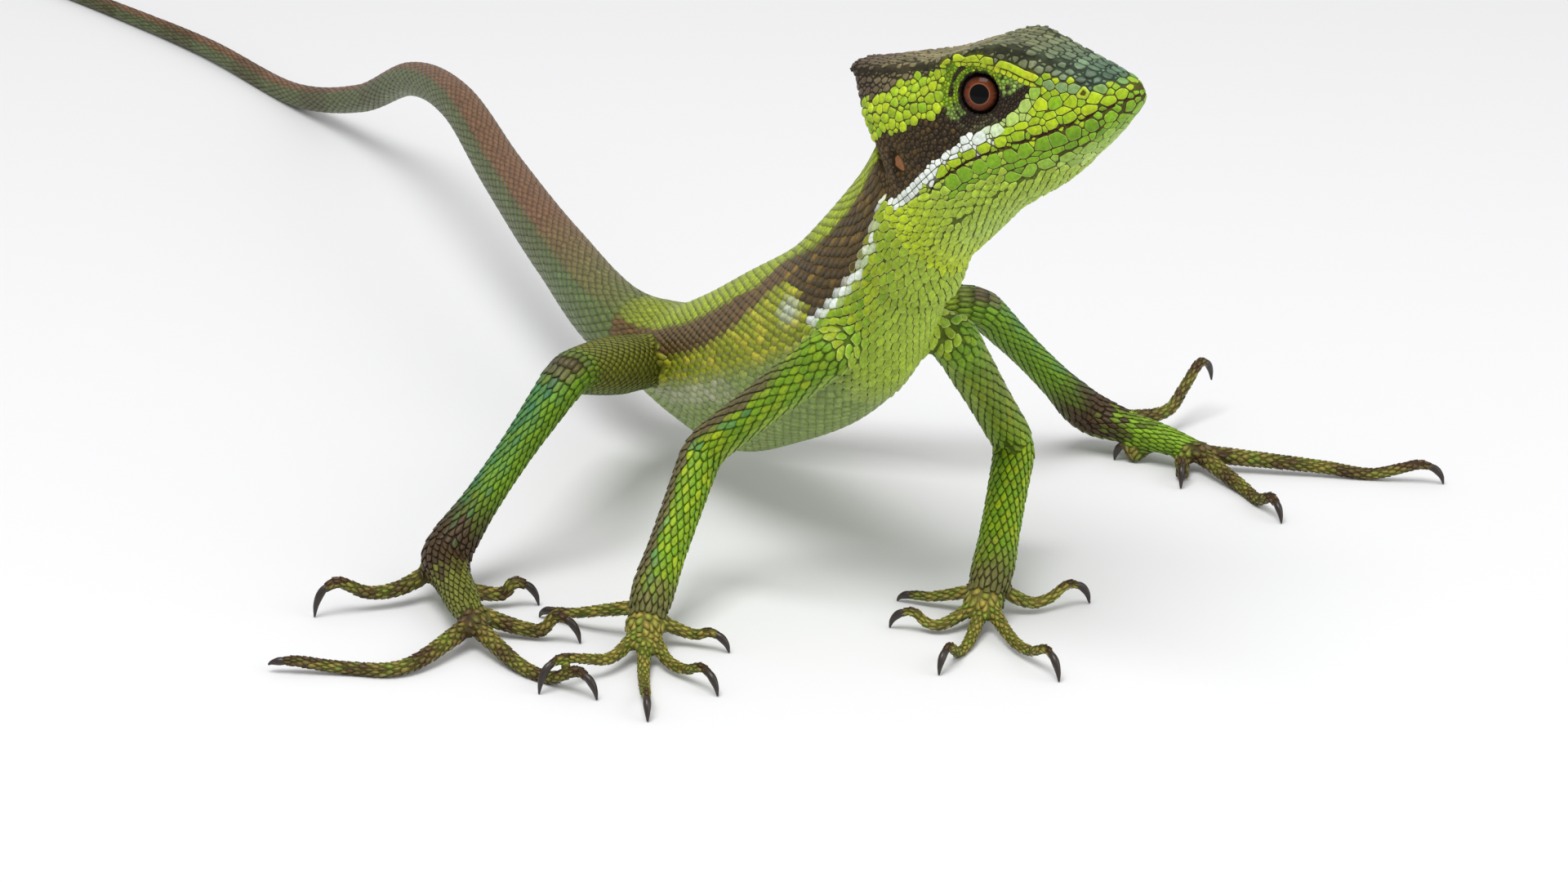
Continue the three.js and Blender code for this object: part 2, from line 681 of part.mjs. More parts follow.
function ballAt(radiusX, radiusY, radiusZ, s, y, z, across, down) {
  return solidOf(new THREE.SphereGeometry(1, across, down))
    .scale([radiusX, radiusY, radiusZ])
    .translate([s, y, z]);
}

// Puts a solid made round the centre of an eye in its place, turned toward the snout.
function atEye(solid, side, sunk) {
  return solid.rotate([0, 0, side * EYE_TURN]).translate([EYE_BACK, side * (EYE_SIDE - sunk), EYE_HEIGHT]);
}

// Round lids that stand out of the side of the head.
function lids(side) {
  const [long, wide, high] = [LID_RADIUS, LID_RADIUS * 0.78, LID_RADIUS * 0.94];
  return atEye(ballAt(long, wide, high, 0, 0, 0, 18, 10), side, 0);
}

// Room for the ball of the eye and the opening between the lids.
function eyeRoom(side) {
  const opening = new THREE.CylinderGeometry(LID_OPENING * 1.12, LID_OPENING, 6, 18);
  const hole = solidOf(opening).translate([0, 3, 0]);
  const turned = side > 0 ? hole : hole.rotate([0, 0, 180]);
  return joined([eyeBall(side, GAP), atEye(turned, side, 0)]);
}

function eyeBall(side, room) {
  const radius = EYE_RADIUS + room;
  return atEye(ballAt(radius, radius * 0.86, radius, 0, 0, 0, 16, 10), side, EYE_SUNK);
}

function nostril(side) {
  const [long, deep, high] = [NOSTRIL_RADIUS * 1.2, NOSTRIL_DEPTH, NOSTRIL_RADIUS];
  return ballAt(long, deep, high, NOSTRIL_BACK, side * NOSTRIL_SIDE, NOSTRIL_HEIGHT, 8, 6);
}

function ear(side) {
  return ballAt(1.0, 0.9, 1.7, EAR_BACK, side * EAR_SIDE, EAR_HEIGHT, 12, 8);
}

// Everything below the line of the mouth and in front of its corner.
function jawRegion(clearance) {
  const outline = new THREE.Shape();
  const end = MOUTH_CORNER + clearance;
  outline.moveTo(-4, -20);
  outline.lineTo(-4, clearance);
  for (let s = 0; s <= MOUTH_CORNER; s += 4) {
    outline.lineTo(s, mouthHeight(s) + clearance);
  }
  outline.lineTo(end, clearance);
  outline.lineTo(end, -20);
  const slab = new THREE.ExtrudeGeometry(outline, { depth: 24, bevelEnabled: false });
  slab.translate(0, 0, -12);
  slab.rotateX(Math.PI / 2);
  return solidOf(slab);
}

// Head, lower jaw, eyes and the neck that carries them.
function headParts(neckSolid) {
  const openings = [-1, 1].flatMap((side) => [eyeRoom(side), nostril(side), ear(side)]);
  const shell = joined([headShell(), lids(-1), lids(1)]).subtract(joined(openings));
  const whole = joined([inHead(shell), neckSolid]);
  const nape = at(NAPE_BACK, 0, NAPE_HEIGHT).applyMatrix4(HEAD_FRAME);
  const slope = HEAD_FORWARD.clone().addScaledVector(HEAD_UP, NECK_BORDER_SLOPE);
  const [neck, front] = parted(whole, nape, slope);
  return {
    neck,
    head: front.subtract(inHead(jawRegion(GAP / 2))),
    jaw: front.intersect(inHead(jawRegion(-GAP / 2))),
    left: inHead(eyeBall(-1, 0)),
    right: inHead(eyeBall(1, 0)),
  };
}

// Assembly

const iguana = new THREE.Group();
iguana.name = "casquehead_iguana";

function addNode(name, solid, material) {
  const made = solid.simplify(FACET_TOLERANCE).getMesh();
  const geometry = new THREE.BufferGeometry();
  geometry.setAttribute("position", new THREE.BufferAttribute(made.vertProperties, 3));
  geometry.setIndex(new THREE.BufferAttribute(made.triVerts, 1));
  geometry.computeVertexNormals();
  const mesh = new THREE.Mesh(geometry, material);
  mesh.name = name;
  iguana.add(mesh);
}

function biggest(solid) {
  return solid.decompose().reduce((a, b) => (a.volume() > b.volume() ? a : b));
}

const arms = { left: arm(ARMS.left), right: arm(ARMS.right) };
const legs = { left: leg(LEGS.left), right: leg(LEGS.right) };
const tail = tailLengths();
const spine = joined([loft(trunkRings()), throat()]);
const [trunkSolid, neckSolid] = parted(spine, NECK_BASE, NECK_BASE_FORWARD);
const stubs = [arms.left.stub, arms.right.stub, legs.left.stub, legs.right.stub];
const rooms = [arms.left.room, arms.right.room, legs.left.room, legs.right.room];
const torso = joined([trunkSolid.subtract(joined(rooms)), tail[0], ...stubs]);
const head = headParts(neckSolid);

addNode("head", biggest(head.head), skinMaterial);
addNode("lower_jaw", biggest(head.jaw), skinMaterial);
addNode("eye_left", head.left, eyeMaterial);
addNode("eye_right", head.right, eyeMaterial);
addNode("neck", biggest(head.neck), skinMaterial);
addNode("torso", biggest(torso), skinMaterial);
tail.slice(1).forEach((length, i) => addNode(`tail_${i + 1}`, length, skinMaterial));
for (const side of ["left", "right"]) {
  addNode(`upper_arm_${side}`, arms[side].upper, skinMaterial);
  addNode(`forearm_${side}`, arms[side].lower, skinMaterial);
  addNode(`hand_${side}`, arms[side].end, skinMaterial);
  addNode(`thigh_${side}`, legs[side].upper, skinMaterial);
  addNode(`shank_${side}`, legs[side].lower, skinMaterial);
  addNode(`foot_${side}`, legs[side].end, skinMaterial);
}

const bounds = new THREE.Box3().setFromObject(iguana);
const middle = bounds.getCenter(at(0, 0, 0));
iguana.position.set(-middle.x, -middle.y, -bounds.min.z);

export default iguana;
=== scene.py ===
import math
import bpy
import numpy as np
from mathutils import Matrix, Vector
from mathutils.bvhtree import BVHTree
from mathutils.kdtree import KDTree


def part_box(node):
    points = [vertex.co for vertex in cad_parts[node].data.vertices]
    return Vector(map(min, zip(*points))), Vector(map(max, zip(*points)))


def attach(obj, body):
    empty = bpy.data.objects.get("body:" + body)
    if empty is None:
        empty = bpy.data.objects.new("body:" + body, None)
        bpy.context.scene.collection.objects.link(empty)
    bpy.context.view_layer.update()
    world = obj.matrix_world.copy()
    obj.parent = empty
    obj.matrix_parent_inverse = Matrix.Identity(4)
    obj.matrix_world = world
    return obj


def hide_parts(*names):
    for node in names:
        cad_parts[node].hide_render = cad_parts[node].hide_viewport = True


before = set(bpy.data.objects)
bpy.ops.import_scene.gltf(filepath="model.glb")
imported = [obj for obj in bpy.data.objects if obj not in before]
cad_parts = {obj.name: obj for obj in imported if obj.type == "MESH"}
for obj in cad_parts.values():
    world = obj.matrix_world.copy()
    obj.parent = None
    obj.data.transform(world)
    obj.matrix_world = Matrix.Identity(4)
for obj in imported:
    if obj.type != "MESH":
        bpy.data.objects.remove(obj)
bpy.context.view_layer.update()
random = np.random.default_rng(20)

# Sizes in millimetres, in the pose frame: +X forward along the trunk, +Y the animal's left, +Z up.

HIP_HEIGHT = 15.2
HIP_HALF_WIDTH = 6.6
TRUNK_LENGTH = 61.2
TRUNK_PITCH = 20.6
SHOULDER_HALF_WIDTH = 6.4

SNOUT_TIP = np.array([90.6, 13.2, 73.7])
HEAD_TURN = 25.1
HEAD_PITCH = 31.1
MOUTH_CORNER = 29.5
MOUTH_BOW = 1.3
CASQUE_END = 36.4
EYE = np.array([18.2, 3.45, 7.9])
EYE_RADIUS = 3.0
EYE_FLATTENING = 0.86
LID_CENTRE = np.array([18.2, 3.7, 7.9])
EYE_TURN = 20
LID_RADII = np.array([3.7, 2.886, 3.478])
LID_GAP = 2.3
PUPIL_RADIUS = 1.15
IRIS_RADIUS = 2.02
EYE_SPOKES = 64
EAR = (32.4, 4.7)

UPPER_ARM_LENGTH = 26.8
FOREARM_LENGTH = 20.4
WRIST_TO_PALM = 5.5
THIGH_LENGTH = 36.6
SHANK_LENGTH = 28.6
ANKLE_TO_TOES = 16.7
FINGER_RADIUS = 0.85
TOE_RADIUS = 1.0
CLAW_RADIUS = 0.5
CLAW_LENGTH = 3.4
CLAW_TIP_RADIUS = 0.12
FLOOR_SINK = 0.12

CAMERA_PLACE = np.array([496.714, -253.358, 216.351])
CAMERA_TURN = 61.62
CAMERA_DROP = 21.0
CAMERA_LENS = 100
SENSOR_WIDTH = 36

# Half the width of the floor, in metres.
FLOOR_REACH = 6

SKIN_VOXEL = 0.36
SKIN_DEPTH = 0.16
LIMB_ROOT = 0.06
MOUTH_SEAM = 0.24
SKIRT_DEPTH = 0.1
NOSTRIL_STEP = 0.15
NOSTRIL_DEPTH = 0.35

# Half width from which a scale has its full height.
FULL_SIZE = 0.5

# Share of the arm whose scales are small, and how small they are in length and width.
ARM_ROOT = 0.24
ROOT_SCALE = (0.7, 0.75)

# Share of the trunk where the neck begins, and degrees down from the back where its side begins.
NECK_START = 0.68
NECK_SIDE = 100

# Most triangles of a piece of the coat, and width of a scale's patch on its unwrap.
MOST_TRIANGLES = 180000
PATCH = 0.003

# Small tools


def unit(v):
    v = np.asarray(v, float)
    return v / np.maximum(np.linalg.norm(v, axis=-1, keepdims=True), 1e-9)


def heading(bearing, rise):
    b, r = math.radians(bearing), math.radians(rise)
    return np.array([math.cos(r) * math.cos(b), math.cos(r) * math.sin(b), math.sin(r)])


def along(rows, place):
    """Smooth values of a table at a place, which is the table's first column."""
    rows = np.asarray(rows, float)
    last = len(rows) - 1
    i = int(np.clip(np.searchsorted(rows[:, 0], place) - 1, 0, last - 1))

    def slope(n):
        a, b = rows[max(n - 1, 0)], rows[min(n + 1, last)]
        return (b - a) / (b[0] - a[0])

    a, b = rows[i], rows[i + 1]
    span = b[0] - a[0]
    t = min(max((place - a[0]) / span, 0), 1)
    start = (1 - t) ** 2 * (a * (1 + 2 * t) + slope(i) * span * t)
    return start + t**2 * (b * (3 - 2 * t) - slope(i + 1) * span * (1 - t))


def curve_through(points, samples=24):
    """Dense points of a smooth curve through a few points."""
    p = np.asarray(points, float)
    p = np.vstack([2 * p[0] - p[1], p, 2 * p[-1] - p[-2]])
    dense = []
    for i in range(1, len(p) - 2):
        x0, x1, x2, x3 = p[i - 1 : i + 3]
        d0, d1, d2 = (np.linalg.norm(b - a) ** 0.5 for a, b in ((x0, x1), (x1, x2), (x2, x3)))
        t1 = ((x1 - x0) / d0 - (x2 - x0) / (d0 + d1) + (x2 - x1) / d1) * d1
        t2 = ((x2 - x1) / d1 - (x3 - x1) / (d1 + d2) + (x3 - x2) / d2) * d1
        for t in np.arange(samples) / samples:
            dense.append(
                (2 * t**3 - 3 * t**2 + 1) * x1 + (t**3 - 2 * t**2 + t) * t1
                + (3 * t**2 - 2 * t**3) * x2 + (t**3 - t**2) * t2
            )
    dense.append(p[-2])
    return np.array(dense)


def distances(line):
    """Length along a line up to each of its points."""
    return np.concatenate([[0], np.cumsum(np.linalg.norm(np.diff(line, axis=0), axis=1))])


def bent_path(points, corner, samples=16):
    """Dense points of straight lengths with rounded corners."""
    dense = [points[0]]
    for a, b, c in zip(points, points[1:], points[2:]):
        start, end = b + unit(a - b) * corner, b + unit(c - b) * corner
        for t in np.linspace(0, 1, samples):
            dense.append((1 - t) ** 2 * start + 2 * t * (1 - t) * b + t**2 * end)
    dense.append(points[-1])
    return np.array(dense)


class Tube:
    """Oval sections along a line: centre, forward, side, top, width, rise and drop by share of length."""

    def __init__(self, line, size, up, steps=120, frames=None):
        length = distances(line)
        self.length = length[-1]
        self.t = np.linspace(0, 1, steps + 1)
        self.centre = np.stack([np.interp(self.t * self.length, length, line[:, k]) for k in range(3)], 1)
        if frames is None:
            forward = unit(np.gradient(self.centre, axis=0))
            side = unit(np.cross(np.broadcast_to(up, forward.shape), forward))
        else:
            forward = frames
            side = unit(np.cross([0, 0, 1], forward))
        self.forward, self.side = forward, side
        self.top = np.cross(forward, side)
        self.size = np.array([size(t) for t in self.t])

    def at(self, t, turn):
        """Points of the surface, with their outward direction and the direction forward."""
        t, turn = np.broadcast_arrays(np.asarray(t, float), np.asarray(turn, float))
        pick = lambda field: np.stack([np.interp(t, self.t, field[:, k]) for k in range(field.shape[1])], -1)
        fields = self.centre, self.side, self.top, self.forward, self.size
        centre, side, top, forward, size = (pick(f) for f in fields)
        c, s = np.cos(turn)[..., None], np.sin(turn)[..., None]
        high = np.where(s > 0, size[..., 1:2], size[..., 2:3])
        out = unit(side * c / size[..., 0:1] + top * s / high)
        return centre + side * size[..., 0:1] * c + top * high * s, out, unit(forward)

    def mesh(self, sides):
        turns = 2 * np.pi * (np.arange(sides) + 0.5) / sides
        return loft([self.at(t, turns)[0] for t in self.t])


def loft(rings):
    """Closed skin over rings of equal numbers of points: vertices and faces."""
    n = len(rings[0])
    points = np.vstack(rings + [rings[0].mean(0)[None], rings[-1].mean(0)[None]])
    faces = []
    for r in range(len(rings) - 1):
        for i in range(n):
            j = (i + 1) % n
            faces.append((r * n + i, r * n + j, (r + 1) * n + j, (r + 1) * n + i))
    first, last = len(points) - 2, len(points) - 1
    base = (len(rings) - 1) * n
    for i in range(n):
        j = (i + 1) % n
        faces.append((first, j, i))
        faces.append((last, base + i, base + j))
    volume = 0
    for f in faces:
        for k in range(1, len(f) - 1):
            volume += np.dot(points[f[0]], np.cross(points[f[k]], points[f[k + 1]]))
    if volume < 0:
        faces = [tuple(reversed(f)) for f in faces]
    return points, faces


def to_part(points):
    """From millimetres in the pose frame to metres in the part's frame."""
    return (np.asarray(points) + POSE_OFFSET) / 1000


def added(name, data):
    made = bpy.data.objects.new(name, data)
    bpy.context.scene.collection.objects.link(made)
    return made


def new_mesh(name, points, faces):
    mesh = bpy.data.meshes.new(name)
    mesh.from_pydata(to_part(points).tolist(), [], [tuple(int(i) for i in f) for f in faces])
    mesh.validate()
    return added(name, mesh)


def merged(pieces):
    """Points and faces of several meshes as one."""
    points, faces, start = [], [], 0
    for p, f in pieces:
        points.append(p)
        faces += [tuple(i + start for i in face) for face in f]
        start += len(p)
    return np.vstack(points), faces


def set_paint(mesh, tones):
    """Gives each point of a mesh its colour."""
    paint = mesh.attributes.new("paint", "FLOAT_COLOR", "POINT")
    paint.data.foreach_set("color", np.column_stack([tones, np.ones(len(tones))]).ravel())


# Trunk, neck and tail

TRUNK_FORWARD = heading(0, TRUNK_PITCH)


def trunk_point(share, side):
    return np.array([0, side, HIP_HEIGHT]) + TRUNK_FORWARD * share * TRUNK_LENGTH


# Place in the row, x, y, z, width, rise, drop and pitch of each section.
TRUNK_SECTIONS = [
    (0, -9, -1.6, 15.4, 5.7, 5.2, 6.6, 8),
    (1, 0, 0, 16.0, 7.0, 6.2, 10.2, 14),
    (2, 12, 0, 20.0, 8.2, 7.6, 14.2, 20),
    (3, 26, 0, 26.0, 9.2, 9.2, 14.4, 22),
    (4, 40, 0, 32.6, 8.8, 10.4, 13.6, 25),
    (5, 50, 0, 39.0, 8.0, 11.6, 11.6, 34),
    (6, 56.5, 0.2, 46.0, 6.9, 11.0, 8.6, 47),
    (7, 60, 0.6, 52.4, 6.3, 9.4, 7.2, 57),
    (8, 61.6, 1.4, 58.4, 6.0, 7.7, 6.8, 62),
]


def trunk_tube():
    places = np.linspace(0, len(TRUNK_SECTIONS) - 1, 161)
    rows = np.array([along(TRUNK_SECTIONS, n) for n in places])
    line = rows[:, 1:4]
    length = distances(line)
    share = length / length[-1]
    steps = 120
    t = np.linspace(0, 1, steps + 1)
    pitch = np.interp(t, share, rows[:, 7])
    frames = np.array([heading(0, p) for p in pitch])
    size = lambda s: [np.interp(s, share, rows[:, k]) for k in (4, 5, 6)]
    return Tube(line, size, None, steps, frames)


# Loose skin of the throat, from under the jaws to the fold in front of the chest.
THROAT_LINE = [(74.2, 5.5, 61.1), (68.9, 3.0, 57.4), (64.1, 1.0, 54.2), (60.6, 0.8, 50.8), (56.8, 0.2, 45.6)]
THROAT_ROWS = [
    (0, 4.6, 2, 3.6), (0.28, 6.1, 4, 5.9), (0.52, 6.6, 5.5, 7.0), (0.72, 6.8, 6, 8.0), (0.94, 6.8, 6, 8.8),
    (1, 6.2, 5, 7.6),
]


def throat_tube():
    return Tube(curve_through(THROAT_LINE), lambda t: along(THROAT_ROWS, t)[1:], (0, 0, 1), 60)


TAIL_SIZES = [
    (0, 5.6), (0.04, 5.3), (0.1, 4.5), (0.18, 3.7), (0.26, 3.1), (0.4, 2.3), (0.6, 1.6), (0.8, 1.05),
    (1, 0.55),
]
TAIL_DEPTH = 1.05
TAIL_LANDING = 182
TAIL_REACH = 398
TAIL_BEND = (17, -7)


def tail_tube():
    points = [
        (2, 0, 16), (-13, -3, 15.6), (-40, 0.3, 17.5), (-71.5, 5.8, 20.2), (-100, 11.2, 23),
        (-127, 15.5, 19.2), (-154, 17.5, 8.6),
    ]
    for t in np.linspace(0, 1, 7):
        x = -TAIL_LANDING + (TAIL_LANDING - TAIL_REACH) * t
        swing = (1 - math.cos(math.pi * min(1, t * 1.15))) / 2
        y = TAIL_BEND[0] + (TAIL_BEND[1] - TAIL_BEND[0]) * swing
        radius = along(TAIL_SIZES, 0.45 + 0.55 * t)[1]
        points.append((x, y, radius * TAIL_DEPTH - FLOOR_SINK))

    def size(t):
        r = along(TAIL_SIZES, t)[1]
        return [r * 0.95, r * TAIL_DEPTH, r * TAIL_DEPTH]

    return Tube(curve_through(points), size, (0, 0, 1), 420)


# Limbs


def oval_size(rows, wide=1, deep=1.04):
    def size(t):
        r = along(rows, t)[1]
        return [r * wide, r * deep, r * deep]

    return size


ARM_ROWS = [
    (0, 1.14), (0.038, 2.96), (0.08, 3.42), (0.16, 3.13), (0.3, 2.74), (0.5, 2.65), (0.6, 2.5), (0.8, 2.43),
    (0.9, 2.6), (0.96, 2.29), (1, 1.43),
]
LEG_ROWS = [
    (0, 1.68), (0.032, 4.03), (0.065, 4.28), (0.2, 4.2), (0.34, 3.61), (0.44, 3.0), (0.51, 2.62), (0.6, 2.3),
    (0.7, 2.44), (0.79, 3.05), (0.87, 2.32), (0.94, 2.07), (1, 1.4),
]
ARM_OVAL = (1.04, 1)
LEG_OVAL = (1.06, 0.94)
PALM_RADIUS = 2.7
BALL_RADIUS = 2.0

# Per limb: side, bearing and rise of each length, then per digit its root on the hand, the reach and bearing
# of its middle and of its claw, its lift and arch, and how far its rest and tip stay above the floor.
LIMBS = {
    "arm_right": (-1, (-140.2, -41.6), (-49.7, -37.4), (-41.2, -36.3), [
        (0.7, 5.6, 70, 10.4, 54.5, 2.4, 1.0, 1.1, 0),
        (0.9, 7.4, -4, 16.9, 4.2, 2.8, 0.6, 0.7, 0),
        (1, 9.6, -28, 21.6, -26, 2.5, 0, 0, 0),
        (0.9, 8.4, -57.5, 18.4, -70.8, 3.9, 1.3, 2.2, 0),
        (0.4, 9.3, -156.5, 16.8, -154.4, 1.5, 1.8, 1.1, 0),
    ]),
    "arm_left": (1, (112.6, -53.2), (-39.3, -27.3), (-45.7, -31.3), [
        (0.6, 7.3, -158, 12.6, -151, 1.3, 0.9, 0.6, 0),
        (0.9, 6.6, -86, 11.9, -110, 2.6, 0.5, 0.6, 0),
        (1, 8.6, -44, 17.4, -49, 2.7, 0, 0, 0),
        (0.9, 9.6, -7, 20.1, -3.8, 3.2, 0.5, 0.8, 0),
        (0.4, 6.6, 86, 14.9, 85.4, 3.2, 0.8, 1.0, 0),
    ]),
    "leg_right": (-1, (-42.2, 17.1), (-83.9, -47.4), (-11.1, -6.1), [
        (0.45, 11.6, 143, 14.2, 120, 3.4, 1.0, 1.0, 0),
        (0.8, 6.8, 76, 13.2, 62, 3.5, 0.4, 0.5, 0),
        (1, 11.4, 8, 23.2, 15, 3, 0, 0, 0),
        (1, 12.6, -69, 25.8, -99.2, 1.6, 0.2, -0.9, 0.9),
        (0.04, 15.8, -167, 22.1, -140.5, 4.4, 1.5, 1.6, 0),
    ]),
    "leg_left": (1, (42, 16.3), (98.1, -45.4), (32.7, -8.2), [
        (0.62, 8.2, -138, 11.6, -136, 2.6, 0.6, 0, 0),
        (0.85, 3.4, -70, 7.8, -50, 3, 0.3, 0, 0),
        (1, 10.8, 2, 21.8, -3, 2.6, 0, 0, 0),
        (1, 17, 53, 33.2, 52, 2.7, 0.5, 0, 0),
        (0.04, 14.4, 164, 23, 142, 8.2, 2.4, 0, 4.6),
    ]),
}


def polar(centre, reach, bearing, height):
    b = math.radians(bearing)
    return np.array([centre[0] + reach * math.cos(b), centre[1] + reach * math.sin(b), height])


def digit_tubes(root, centre, row, radius):
    """Flesh and claw of one digit."""
    _, mid_reach, mid_bearing, end_reach, end_bearing, lift, arch, rest_rise, tip_rise = row
    mid = polar(centre, mid_reach, mid_bearing, radius - FLOOR_SINK + arch)
    tip = polar(centre, end_reach, end_bearing, CLAW_TIP_RADIUS + tip_rise)
    out = (tip - mid) * [1, 1, 0]
    length = np.linalg.norm(out)
    out /= length
    claw = min(CLAW_LENGTH, length * 0.6)

    def spot(back, share):
        point = tip - out * claw * back
        return np.array([point[0], point[1], tip[2] + (lift - tip[2]) * share])

    knuckle, brink = spot(0.88, 1), spot(0.36, 0.8)
    rest = (mid + knuckle) / 2
    rest[2] = radius - FLOOR_SINK + tip_rise + rest_rise
    rows = [(0, radius * 1.3), (0.45, radius), (0.8, radius * 0.84), (0.94, radius * 0.76), (1, radius * 0.5)]
    flesh = Tube(curve_through([root, mid, rest, knuckle, brink]), oval_size(rows), (0.02, 0.01, 1), 48)
    claw_rows = [(0, CLAW_RADIUS * 0.8), (0.4, CLAW_RADIUS), (0.7, CLAW_RADIUS * 0.7), (1, CLAW_TIP_RADIUS)]
    hook = curve_through([spot(0.7, 0.95), brink, spot(0.1, 0.42), tip])
    nail = Tube(hook, oval_size(claw_rows), (0.02, 0.01, 1), 24)
    return flesh, nail


def limb_tubes(name):
    side, upper, lower, end, digits = LIMBS[name]
    is_arm = name.startswith("arm")
    if is_arm:
        lengths, rows, oval = (UPPER_ARM_LENGTH, FOREARM_LENGTH, WRIST_TO_PALM), ARM_ROWS, ARM_OVAL
        points, corner, pad = [trunk_point(1, side * SHOULDER_HALF_WIDTH)], 2.4, PALM_RADIUS
    else:
        lengths, rows, oval = (THIGH_LENGTH, SHANK_LENGTH, ANKLE_TO_TOES), LEG_ROWS, LEG_OVAL
        points, corner, pad = [trunk_point(0, side * HIP_HALF_WIDTH)], 3, BALL_RADIUS
    for pose, length in zip((upper, lower, end), lengths):
        points.append(points[-1] + heading(*pose) * length)
    limb = Tube(bent_path(points, corner), oval_size(rows, *oval), (0.05, 0, 1), 120)
    joint, centre = points[2], points[3]
    made = []
    for row in digits:
        root = joint + (centre - joint) * row[0]
        root[2] = max(root[2] * 0.9, 2.2)
        made.append(digit_tubes(root, centre, row, FINGER_RADIUS if is_arm else TOE_RADIUS))
    return limb, made, (centre - [0, 0, 0.2], np.array([pad, pad, pad * 0.8]))


# Head, measured back from the snout tip, sideways and above the line of the mouth

HEAD_FORWARD = heading(HEAD_TURN, HEAD_PITCH)
HEAD_LEFT = heading(HEAD_TURN + 90, 0)
HEAD_UP = np.cross(HEAD_FORWARD, HEAD_LEFT)
HEAD_AXES = np.array([-HEAD_FORWARD, HEAD_LEFT, HEAD_UP])


def from_head(points):
    return SNOUT_TIP + np.asarray(points, float) @ HEAD_AXES


def in_head(points):
    return (np.asarray(points) - SNOUT_TIP) @ HEAD_AXES.T


# Place, top, brow or casque edge, cheek, lip, jaw and chin of each half section.
HEAD_SECTIONS = [
    (0, 1.5, 0.5, 1.4, 0.8, 0.8, 0.9, 0.5, -0.5, -0.6),
    (1.3, 2.7, 1.6, 2.5, 2.2, 1.7, 2.3, 1.7, -1.1, -1.45),
    (3.7, 5.1, 2.6, 4.7, 3.5, 2.9, 3.8, 2.9, -1.7, -2.5),
    (8, 9.0, 3.7, 8.7, 4.6, 4.1, 5.1, 4.4, -2.7, -4.0),
    (12, 11.7, 5.2, 12.1, 5.0, 5.6, 5.9, 5.1, -3.2, -5.0),
    (15.5, 12.7, 6.2, 13.2, 5.4, 7.0, 6.4, 5.6, -3.6, -5.7),
    (20, 13.7, 6.1, 13.8, 5.9, 7.6, 6.9, 6.0, -4.0, -6.0),
    (24, 14.5, 5.2, 14.4, 6.6, 7.6, 7.1, 6.2, -4.2, -6.4),
    (28, 15.9, 4.6, 15.6, 6.9, 7.2, 7.2, 6.3, -5.0, -7.6),
    (33, 17.5, 3.7, 17.1, 6.1, 7.0, 6.5, 5.9, -5.8, -8.9),
    (35.6, 18.5, 2.9, 18.1, 4.7, 6.8, 5.7, 5.2, -6.0, -9.3),
    (CASQUE_END, 18.1, 2.1, 17.7, 3.6, 6.5, 4.6, 4, -5.6, -8.2),
]


def mouth_height(s):
    share = np.clip(np.asarray(s, float) / MOUTH_CORNER, 0, 1)
    return MOUTH_BOW * np.sin(np.pi * share**2.36)


def head_ring(s):
    _, top, edge_y, edge_z, side_y, side_z, lip, jaw_y, jaw_z, chin = along(HEAD_SECTIONS, s)
    mouth = float(mouth_height(s))
    roll = min(1, edge_z * 0.09)
    half = np.array([
        [edge_y * 0.5, top + (edge_z - top) * 0.3],
        [edge_y - 0.25 * roll, edge_z],
        [edge_y, edge_z - 0.5 * roll],
        [edge_y - 0.35 * roll, edge_z - 1.2 * roll],
        [side_y * 0.94, side_z + (edge_z - side_z) * 0.45],
        [side_y, side_z],
        [(side_y + lip) / 2, mouth + (side_z - mouth) * 0.55],
        [lip, mouth + min(1, side_z * 0.4)],
        [lip - 0.12, mouth],
        [lip - 0.05, mouth + max(-1, jaw_z * 0.5)],
        [jaw_y, jaw_z],
        [jaw_y * 0.55, chin + (jaw_z - chin) * 0.28],
    ])
    left = np.column_stack([np.full(len(half), s), half])
    right = left[::-1] * [1, -1, 1]
    return np.vstack([[[s, 0, top]], left, [[s, 0, chin]], right])


def head_mesh():
    places = np.concatenate([[0, 0.6], np.arange(1.3, CASQUE_END, 0.75), [CASQUE_END]])
    points, faces = loft([head_ring(s) for s in places])
    return from_head(points), faces


def ball_mesh(centre, radii, across=24, down=14):
    turns = 2 * np.pi * np.arange(across) / across
    rings = []
    for k in range(1, down):
        a = math.pi * k / down
        level = np.full(across, math.cos(a))
        ring = np.column_stack([np.cos(turns) * math.sin(a), np.sin(turns) * math.sin(a), level])
        rings.append(centre + ring * radii)
    return loft(rings)


def eye_local(h):
    """Places of the head about the lids of the eye on their side: across, out and up."""
    turn = math.radians(EYE_TURN)
    back, out = h[:, 0] - LID_CENTRE[0], np.abs(h[:, 1]) - LID_CENTRE[1]
    across = back * math.cos(turn) + out * math.sin(turn)
    return np.column_stack([across, out * math.cos(turn) - back * math.sin(turn), h[:, 2] - LID_CENTRE[2]])


def from_eye(local, side, centre=LID_CENTRE):
    """Places of the head from places about an eye, which looks a little toward the snout."""
    turn = math.radians(EYE_TURN)
    back = local[:, 0] * math.cos(turn) - local[:, 1] * math.sin(turn)
    out = local[:, 0] * math.sin(turn) + local[:, 1] * math.cos(turn)
    return np.column_stack([centre[0] + back, side * (centre[1] + out), centre[2] + local[:, 2]])


# Where the pose frame lies in the part's frame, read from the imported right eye.
low, high = (np.array(corner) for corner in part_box("eye_right"))
POSE_OFFSET = (low + high) / 2 * 1000 - from_head(EYE * [1, -1, 1])

# Skin


